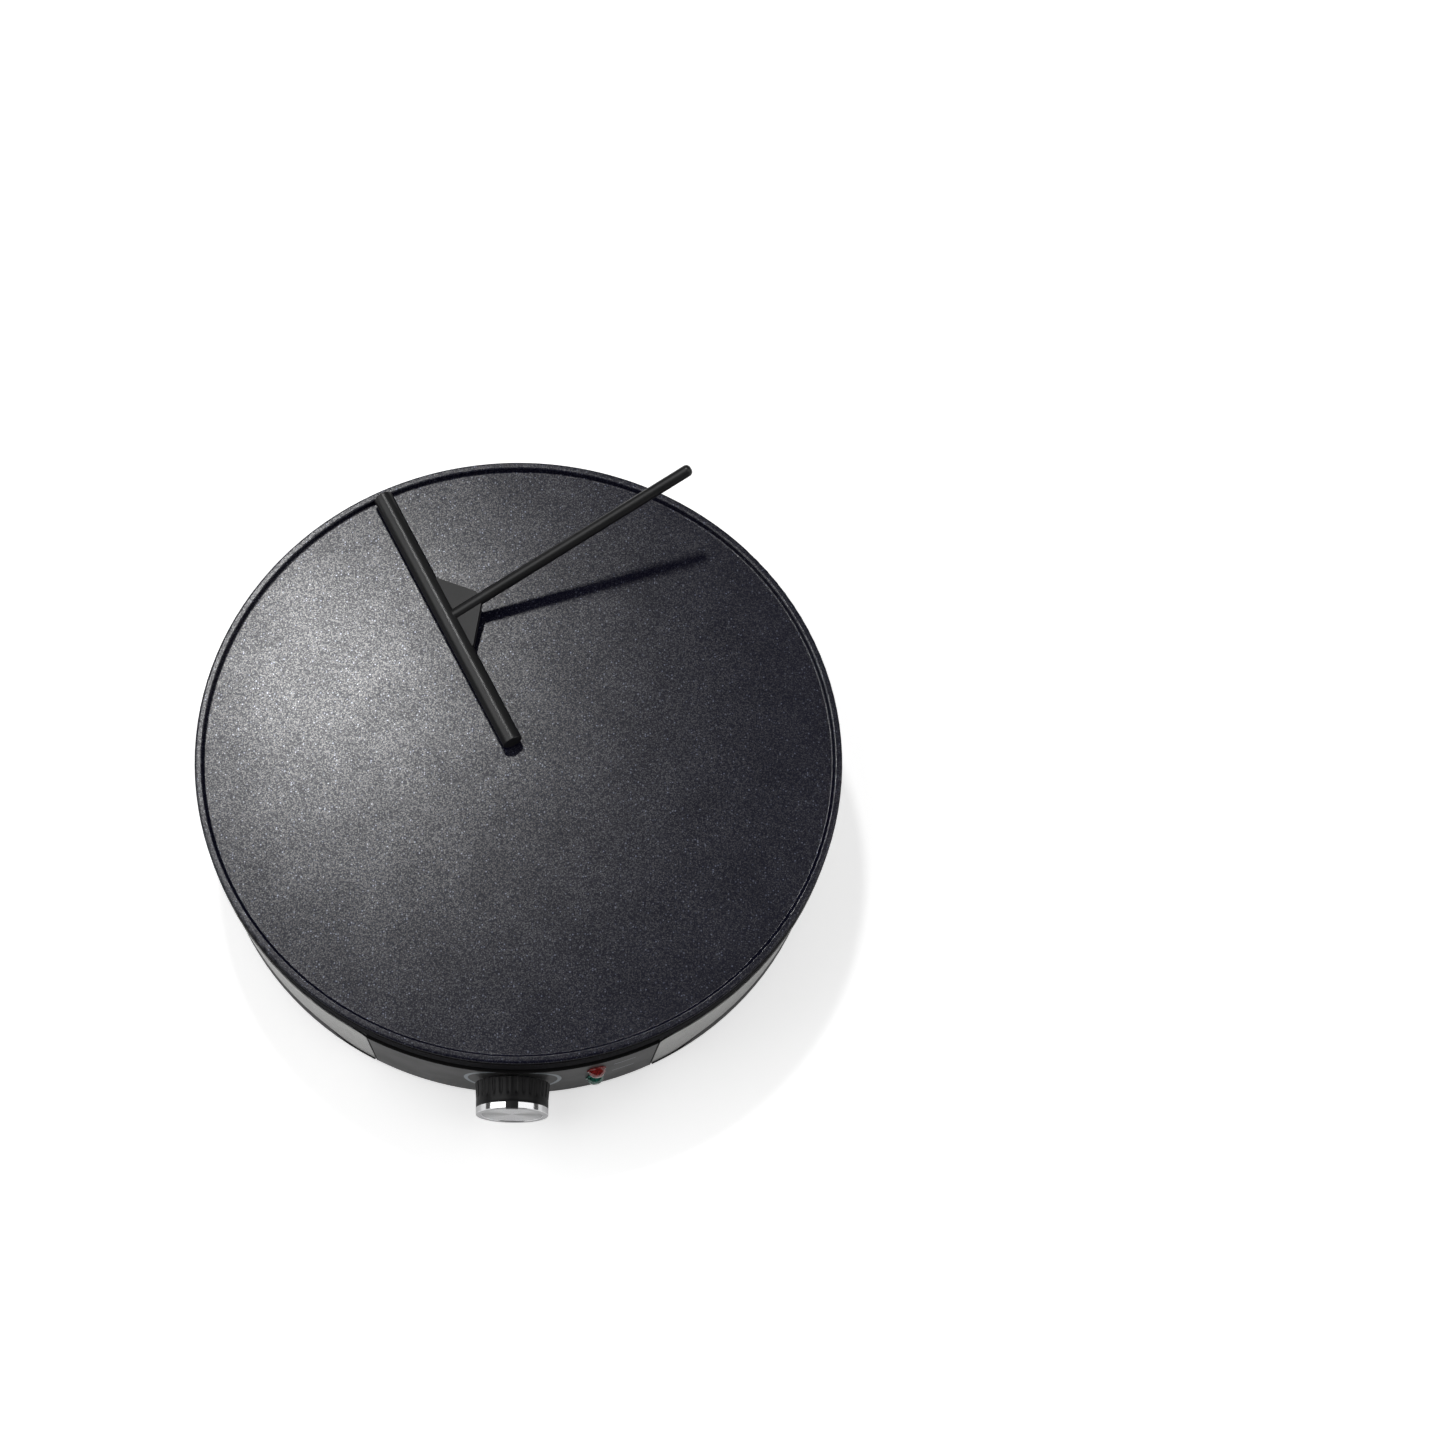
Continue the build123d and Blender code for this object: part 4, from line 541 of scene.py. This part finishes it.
chrome, chrome_tree, chrome_shader = open_material("plated_ring")
chrome_place = part(chrome_tree, "TexCoord").outputs["Normal"]
chrome_front = vector_maths(chrome_tree, "DOT_PRODUCT", chrome_place, knob_out)
satin_lip = range_of(chrome_tree, chrome_front, 0.85, 0.97)
chrome_haze = scaled_noise(chrome_tree, 0.004, detail=4.0)
chrome_gloss = range_of(chrome_tree, chrome_haze, 0.3, 0.7, 0.08, 0.14)
chrome_tree.links.new(maths(chrome_tree, "MULTIPLY_ADD", satin_lip, 0.26, chrome_gloss),
                      chrome_shader.inputs["Roughness"])
chrome_tree.links.new(tint(chrome_tree, satin_lip, (0.86, 0.86, 0.87), (0.56, 0.56, 0.57)),
                      chrome_shader.inputs["Base Color"])
chrome_shader.inputs["Metallic"].default_value = 1.0
ring_edge = 0.0003
ring_section = [(disc_r, knob_shoulder), (knob_r - ring_edge, knob_shoulder),
                (knob_r, knob_shoulder + ring_edge), (knob_r, knob_face - ring_edge),
                (knob_r - ring_edge, knob_face), (disc_r + ring_edge, knob_face),
                (disc_r, knob_face - ring_edge)]
ring_sides = 120
ring_half = 0.0035
ring_points = []
for side in range(ring_sides + 1):
    for r, out in ring_section:
        start = ring_half / r
        ring_points.append(knob_point(r, start + (2 * pi - 2 * start) * side / ring_sides, out))
section_size = len(ring_section)
ring_faces = [tuple(range(section_size)), tuple(ring_sides * section_size + k for k in range(section_size))]
for side in range(ring_sides):
    for corner in range(section_size):
        here = side * section_size + corner
        there = side * section_size + (corner + 1) % section_size
        ring_faces.append((here, there, there + section_size, here + section_size))
ring = mesh_piece("plated_knob_ring", ring_points, ring_faces, chrome)
ring.modifiers.new("flats", "EDGE_SPLIT").split_angle = radians(30)
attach(ring, "knob")
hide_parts("knob_ring")

disc_back, disc_front = 0.0179, 0.0190
disc_rim_r = disc_r - 0.00005
disc_bevel = 0.0002
centre_mark_r, centre_mark = 0.0006, 0.00015
turning_pitch = 0.0002
disc_metal, disc_tree, disc_shader = open_material("turned_disc")
disc_place = part(disc_tree, "TexCoord").outputs["Object"]
disc_from = vector_maths(disc_tree, "SUBTRACT", disc_place, knob_centre)
disc_axes = part(disc_tree, "SeparateXYZ", {0: disc_from}).outputs
disc_flat = part(disc_tree, "CombineXYZ", {"X": disc_axes["X"], "Z": disc_axes["Z"]}).outputs[0]
disc_reach = vector_maths(disc_tree, "LENGTH", disc_flat)
disc_turns = maths(disc_tree, "MULTIPLY", disc_reach, 1 / turning_pitch)
disc_rings = part(disc_tree, "TexNoise", {"W": disc_turns, "Scale": 1.0, "Detail": 2.0},
                  noise_dimensions="1D").outputs["Fac"]
# Painted highlight and shade: the colour is lighter above and below the centre and darker to either side,
# like the fans of light on a turned face; they turn with the knob and don't follow the lamps.
painted_fan_mask = maths(disc_tree, "DIVIDE", disc_axes["Z"], disc_reach)
painted_fan_mask = maths(disc_tree, "ABSOLUTE", painted_fan_mask)
painted_fan_light_and_shade = range_of(disc_tree, painted_fan_mask, 0.0, 0.75, 0.52, 1.18)
disc_shine = tint(disc_tree, disc_rings, (0.52, 0.52, 0.53), (0.74, 0.74, 0.75))
disc_tree.links.new(vector_maths(disc_tree, "SCALE", disc_shine, painted_fan_light_and_shade), disc_shader.inputs["Base Color"])
disc_tree.links.new(range_of(disc_tree, disc_rings, 0.3, 0.7, 0.26, 0.36), disc_shader.inputs["Roughness"])
disc_bump = part(disc_tree, "Bump", {"Height": disc_rings, "Strength": 1.0, "Distance": 0.000012})
disc_tree.links.new(disc_bump.outputs["Normal"], disc_shader.inputs["Normal"])
disc_shader.inputs["Metallic"].default_value = 1.0
disc_shader.inputs["Anisotropic"].default_value = 0.85
disc_shader.inputs["Anisotropic Rotation"].default_value = 0.25
disc_tangent = part(disc_tree, "Tangent", direction_type="RADIAL", axis="Y").outputs[0]
disc_tree.links.new(disc_tangent, disc_shader.inputs["Tangent"])
disc_profile = [(0.0, disc_back), (disc_rim_r, disc_back), (disc_rim_r, disc_front - disc_bevel),
                (disc_rim_r - 0.00025, disc_front), (centre_mark_r, disc_front),
                (centre_mark_r - disc_bevel, disc_front - centre_mark), (0.0, disc_front - centre_mark)]
disc = turned("turned_knob_disc", disc_profile, disc_metal, 128)
disc.modifiers.new("flats", "EDGE_SPLIT").split_angle = radians(30)
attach(disc, "knob")
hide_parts("knob_disc")

# ---------------------------------------------------------------- heat shield
# A shallow dish pressed from aluminised steel sheet, whose coating has a soft spangle. It hangs
# under the plate on the long plate screws and keeps the heat off the tub.
dress(metal_skin("aluminised_sheet", (0.6, 0.61, 0.62), (0.42, 0.43, 0.44), 0.34, blotch=0.008),
      "heat_shield")

# ---------------------------------------------------------------- element, sensor and fuse
# Oxidised steel-sheathed element with white ceramic beads, a copper sensor bulb with its
# capillary, and a small metal-cased fuse clipped under the plate.
dress(metal_skin("oxidised_sheath", (0.09, 0.085, 0.08), (0.16, 0.13, 0.11), 0.5, blotch=0.012),
      "heating_element")
ceramic = moulded_plastic("white_ceramic", (0.74, 0.73, 0.69), (0.8, 0.79, 0.76), rough=0.3)
dress(ceramic, "element_beads")
dress(metal_skin("copper_tube", (0.72, 0.36, 0.22), (0.42, 0.2, 0.12), 0.3, blotch=0.006), "sensor")
dress(metal_skin("fuse_can", (0.62, 0.58, 0.45), (0.5, 0.47, 0.4), 0.3), "thermal_fuse")

# ---------------------------------------------------------------- hot plate
# One aluminium casting with a rounded rim and a skirt, sprayed with black non-stick coating. Its
# clear top layer is crowded with fine mineral specks, and bright metal flecks lie among them.
metal_specks, speck_in, speck_out = finish_group(
    "metal_specks", {"Spacing": 0.00072, "Spread": 0.8, "Share": 1.0}, ("Speck",))
speck_place = part(metal_specks, "TexCoord").outputs["Object"]
speck_rate = maths(metal_specks, "DIVIDE", 1.0, speck_in["Spacing"])
speck_cell = part(metal_specks, "TexVoronoi", {"Vector": speck_place, "Scale": speck_rate}).outputs
speck_pick = part(metal_specks, "SeparateColor", {0: speck_cell["Color"]}).outputs
speck_fade = range_of(metal_specks, speck_cell["Distance"], 0.0, speck_in["Spread"], 1.0, 0.0)
speck_floor = maths(metal_specks, "SUBTRACT", 1.0, speck_in["Share"])
speck_kept = range_of(metal_specks, speck_pick["Red"], speck_floor, 1.0)
metal_specks.links.new(maths(metal_specks, "MULTIPLY", speck_fade, speck_kept), speck_out["Speck"])

# The fillet inside the rim and the rim's crown are true arcs, so their normals are worked out from
# the place on the arc: the facets of the mesh would break up the long highlight round the plate.
fillet_r, fillet_z, fillet_flat = 0.1788, 0.0014, 0.0003
arc_margin = 0.0001
skirt_top = -0.0005
crown_r, crown_z, crown_flat = 0.1826, 0.0020, 0.0009
rim_shape, _, rim_out = finish_group("rim_shape", {}, ("Normal",), kind="NodeSocketVector")
rim_axes = part(rim_shape, "SeparateXYZ", {0: part(rim_shape, "TexCoord").outputs["Object"]}).outputs
rim_flat = part(rim_shape, "CombineXYZ", {"X": rim_axes["X"], "Y": rim_axes["Y"]}).outputs[0]
rim_reach = vector_maths(rim_shape, "LENGTH", rim_flat)
rim_radial = vector_maths(rim_shape, "NORMALIZE", rim_flat)


def round_face(centre_r, centre_z, flat, side):
    """Normal of a rounded edge round the plate, flat on its crown where the spray pools."""
    off = maths(rim_shape, "SUBTRACT", rim_reach, centre_r)
    kept = part(rim_shape, "Clamp", {"Value": off, "Min": -flat, "Max": flat}).outputs[0]
    off = maths(rim_shape, "SUBTRACT", off, kept)
    off = maths(rim_shape, "MULTIPLY", off, side)
    rise = maths(rim_shape, "SUBTRACT", rim_axes["Z"], centre_z)
    rise = maths(rim_shape, "MULTIPLY", rise, side)
    out = vector_maths(rim_shape, "SCALE", rim_radial, off)
    up = part(rim_shape, "CombineXYZ", {"Z": rise}).outputs[0]
    both = vector_maths(rim_shape, "ADD", out, up)
    return vector_maths(rim_shape, "NORMALIZE", both)


rim_face = part(rim_shape, "NewGeometry").outputs["Normal"]
at_fillet = maths(rim_shape, "GREATER_THAN", rim_reach, fillet_r)
at_low = maths(rim_shape, "LESS_THAN", rim_axes["Z"], fillet_z - arc_margin)
at_plate = maths(rim_shape, "GREATER_THAN", rim_axes["Z"], skirt_top)
at_fillet = maths(rim_shape, "MULTIPLY", at_fillet, at_low)
at_fillet = maths(rim_shape, "MULTIPLY", at_fillet, at_plate)
at_crown = maths(rim_shape, "GREATER_THAN", rim_axes["Z"], crown_z + arc_margin)
fillet_face = round_face(fillet_r, fillet_z, fillet_flat, -1.0)
crown_face = round_face(crown_r, crown_z, crown_flat, 1.0)
rim_face = part(rim_shape, "Mix", {0: at_fillet, 4: rim_face, 5: fillet_face}, data_type="VECTOR").outputs[1]
rim_face = part(rim_shape, "Mix", {0: at_crown, 4: rim_face, 5: crown_face}, data_type="VECTOR").outputs[1]
rim_shape.links.new(rim_face, rim_out["Normal"])

coating, coat_tree, coat_shader = open_material("plate_coating")
coat_face = part(coat_tree, "Group", node_tree=rim_shape).outputs["Normal"]
fine_specks = part(coat_tree, "Group", node_tree=metal_specks).outputs["Speck"]
bright_specks = part(coat_tree, "Group", node_tree=metal_specks)
bright_specks.inputs["Spacing"].default_value = 0.0014
bright_specks.inputs["Spread"].default_value = 0.4
bright_specks.inputs["Share"].default_value = 0.25
broad = range_of(coat_tree, scaled_noise(coat_tree, 0.03, detail=3.0), 0.35, 0.65)
coat_up = part(coat_tree, "SeparateXYZ", {0: coat_face}).outputs["Z"]
coat_dark = tint(coat_tree, broad, (0.002, 0.0021, 0.0105), (0.0028, 0.0029, 0.0125))
coat_dark = tint(coat_tree, range_of(coat_tree, coat_up, 0.4, 0.1), coat_dark, (0.01, 0.01, 0.0122))
bright_share = range_of(coat_tree, coat_up, 0.1, 0.6, 0.25, 1.0)
coat_bright = maths(coat_tree, "MULTIPLY", bright_specks.outputs["Speck"], bright_share)
coat_colour = tint(coat_tree, coat_bright, coat_dark, (0.2, 0.22, 0.3))
coat_tree.links.new(coat_colour, coat_shader.inputs["Base Color"])
coat_tree.links.new(coat_bright, coat_shader.inputs["Metallic"])
coat_side = range_of(coat_tree, coat_up, 0.5, 0.0, 0.0, 0.6)
coat_film = maths(coat_tree, "MULTIPLY_ADD", fine_specks, 0.93, 0.1)
coat_film = maths(coat_tree, "MULTIPLY", coat_film, range_of(coat_tree, broad, 0.0, 1.0, 0.86, 1.12))
coat_film = maths(coat_tree, "MULTIPLY", coat_film, range_of(coat_tree, coat_up, 0.1, 0.6))
coat_tree.links.new(coat_film, coat_shader.inputs["Coat Weight"])
coat_shader.inputs["Coat Roughness"].default_value = 0.277
coat_shader.inputs["Coat IOR"].default_value = 2.0
coat_peel = scaled_noise(coat_tree, 0.001, detail=2.0, roughness=0.6)
coat_gloss = range_of(coat_tree, coat_peel, 0.3, 0.7, 0.28, 0.34)
coat_tree.links.new(maths(coat_tree, "ADD", coat_gloss, coat_side), coat_shader.inputs["Roughness"])
coat_tree.links.new(coat_face, coat_shader.inputs["Coat Normal"])
coat_bump = part(coat_tree, "Bump", {"Height": coat_peel, "Strength": 1.0, "Distance": 0.00005,
                                     "Normal": coat_face})
coat_tree.links.new(coat_bump.outputs["Normal"], coat_shader.inputs["Normal"])
coat_shader.inputs["Specular IOR Level"].default_value = 0.1
dress(coating, "hot_plate")

# ---------------------------------------------------------------- batter spreader
# A loose tool that stands on the plate: a satin black round bar moulded with a flat web, and a
# thin rod of the same plastic glued along the web as its handle.
spreader_plastic = moulded_plastic("spreader_plastic", (0.01, 0.01, 0.0105), (0.03, 0.03, 0.031), rough=0.36)
dress(spreader_plastic, "spreader_head", "spreader_rod")

# ---------------------------------------------------------------- floor, light and camera
# A plain pale table, one small bright lamp behind and to the left, a broad soft panel on each
# side and a faint sky. The table's glow makes it white to the eye and fades into the sky further
# off; it is off beneath the tub, so that no light shows through the vents.
rest_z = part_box("foot_front_left")[0][2]
table_mesh = bpy.data.meshes.new("table")
table_half = 6.0
table_corners = [(-table_half, -table_half, rest_z), (table_half, -table_half, rest_z),
                 (table_half, table_half, rest_z), (-table_half, table_half, rest_z)]
table_mesh.from_pydata(table_corners, [], [(0, 1, 2, 3)])
table = bpy.data.objects.new("table", table_mesh)
bpy.context.collection.objects.link(table)
table_white, table_tree, table_shader = open_material("table_white")
table_shader.inputs["Base Color"].default_value = (0.9, 0.9, 0.9, 1.0)
table_shader.inputs["Roughness"].default_value = 0.6
table_shader.inputs["Specular IOR Level"].default_value = 0.1
table_rays = part(table_tree, "LightPath").outputs
table_glow = maths(table_tree, "MULTIPLY", table_rays["Is Glossy Ray"], 0.12)
table_reach = vector_maths(table_tree, "LENGTH", part(table_tree, "TexCoord").outputs["Object"])
table_white_out = range_of(table_tree, table_reach, 0.6, 1.4, 0.55, 1.0)
table_glow = maths(table_tree, "MULTIPLY_ADD", table_rays["Is Camera Ray"], table_white_out, table_glow)
table_open = range_of(table_tree, table_reach, 0.155, 0.185)
table_glow = maths(table_tree, "MULTIPLY", table_glow, table_open)
table_tree.links.new(table_glow, table_shader.inputs["Emission Strength"])
table_shader.inputs["Emission Color"].default_value = (1.0, 1.0, 1.0, 1.0)
table_mesh.materials.append(table_white)

world = bpy.data.worlds.new("soft_room")
bpy.context.scene.world = world
world.use_nodes = True
sky = world.node_tree
sky_light = sky.nodes["Background"]
sky_light.inputs["Color"].default_value = (1.0, 1.0, 1.0, 1.0)
sky_light.inputs["Strength"].default_value = 0.08
sky_seen = part(sky, "LightPath").outputs["Is Camera Ray"]
sky_white = part(sky, "Background", {"Color": (1.0, 1.0, 1.0, 1.0), "Strength": 1.0}).outputs[0]
sky_mix = part(sky, "MixShader", {0: sky_seen, 1: sky_light.outputs[0], 2: sky_white})
sky.links.new(sky_mix.outputs[0], sky.nodes["World Output"].inputs["Surface"])


def soft_lamp(name, place, width, height, brightness):
    """A rectangular softbox of even brightness that faces the middle of the plate."""
    data = bpy.data.lights.new(name, "AREA")
    data.shape = "RECTANGLE"
    data.size = width
    data.size_y = height
    data.energy = pi * width * height * brightness
    lamp = bpy.data.objects.new(name, data)
    lamp.location = place
    lamp.rotation_euler = (-Vector(place)).to_track_quat("-Z", "Y").to_euler()
    bpy.context.collection.objects.link(lamp)


soft_lamp("key_lamp", (-0.293, 0.844, 1.8), 0.15, 0.15, 148.0)
soft_lamp("left_panel", (-1.3, -0.1, 1.4), 1.6, 2.2, 1.75)
soft_lamp("right_panel", (1.3, -0.1, 1.4), 1.6, 2.2, 1.0)

camera_data = bpy.data.cameras.new("view")
camera_data.sensor_width = 36.0
camera_data.lens = 62.5
camera_data.shift_x = 0.139
camera = bpy.data.objects.new("view", camera_data)
camera.location = (0.0102, -0.5374, 1.3269)
camera.rotation_euler = (radians(22.74), 0.0, radians(1.0))
bpy.context.collection.objects.link(camera)
bpy.context.scene.camera = camera
bpy.context.scene.view_settings.view_transform = "Standard"
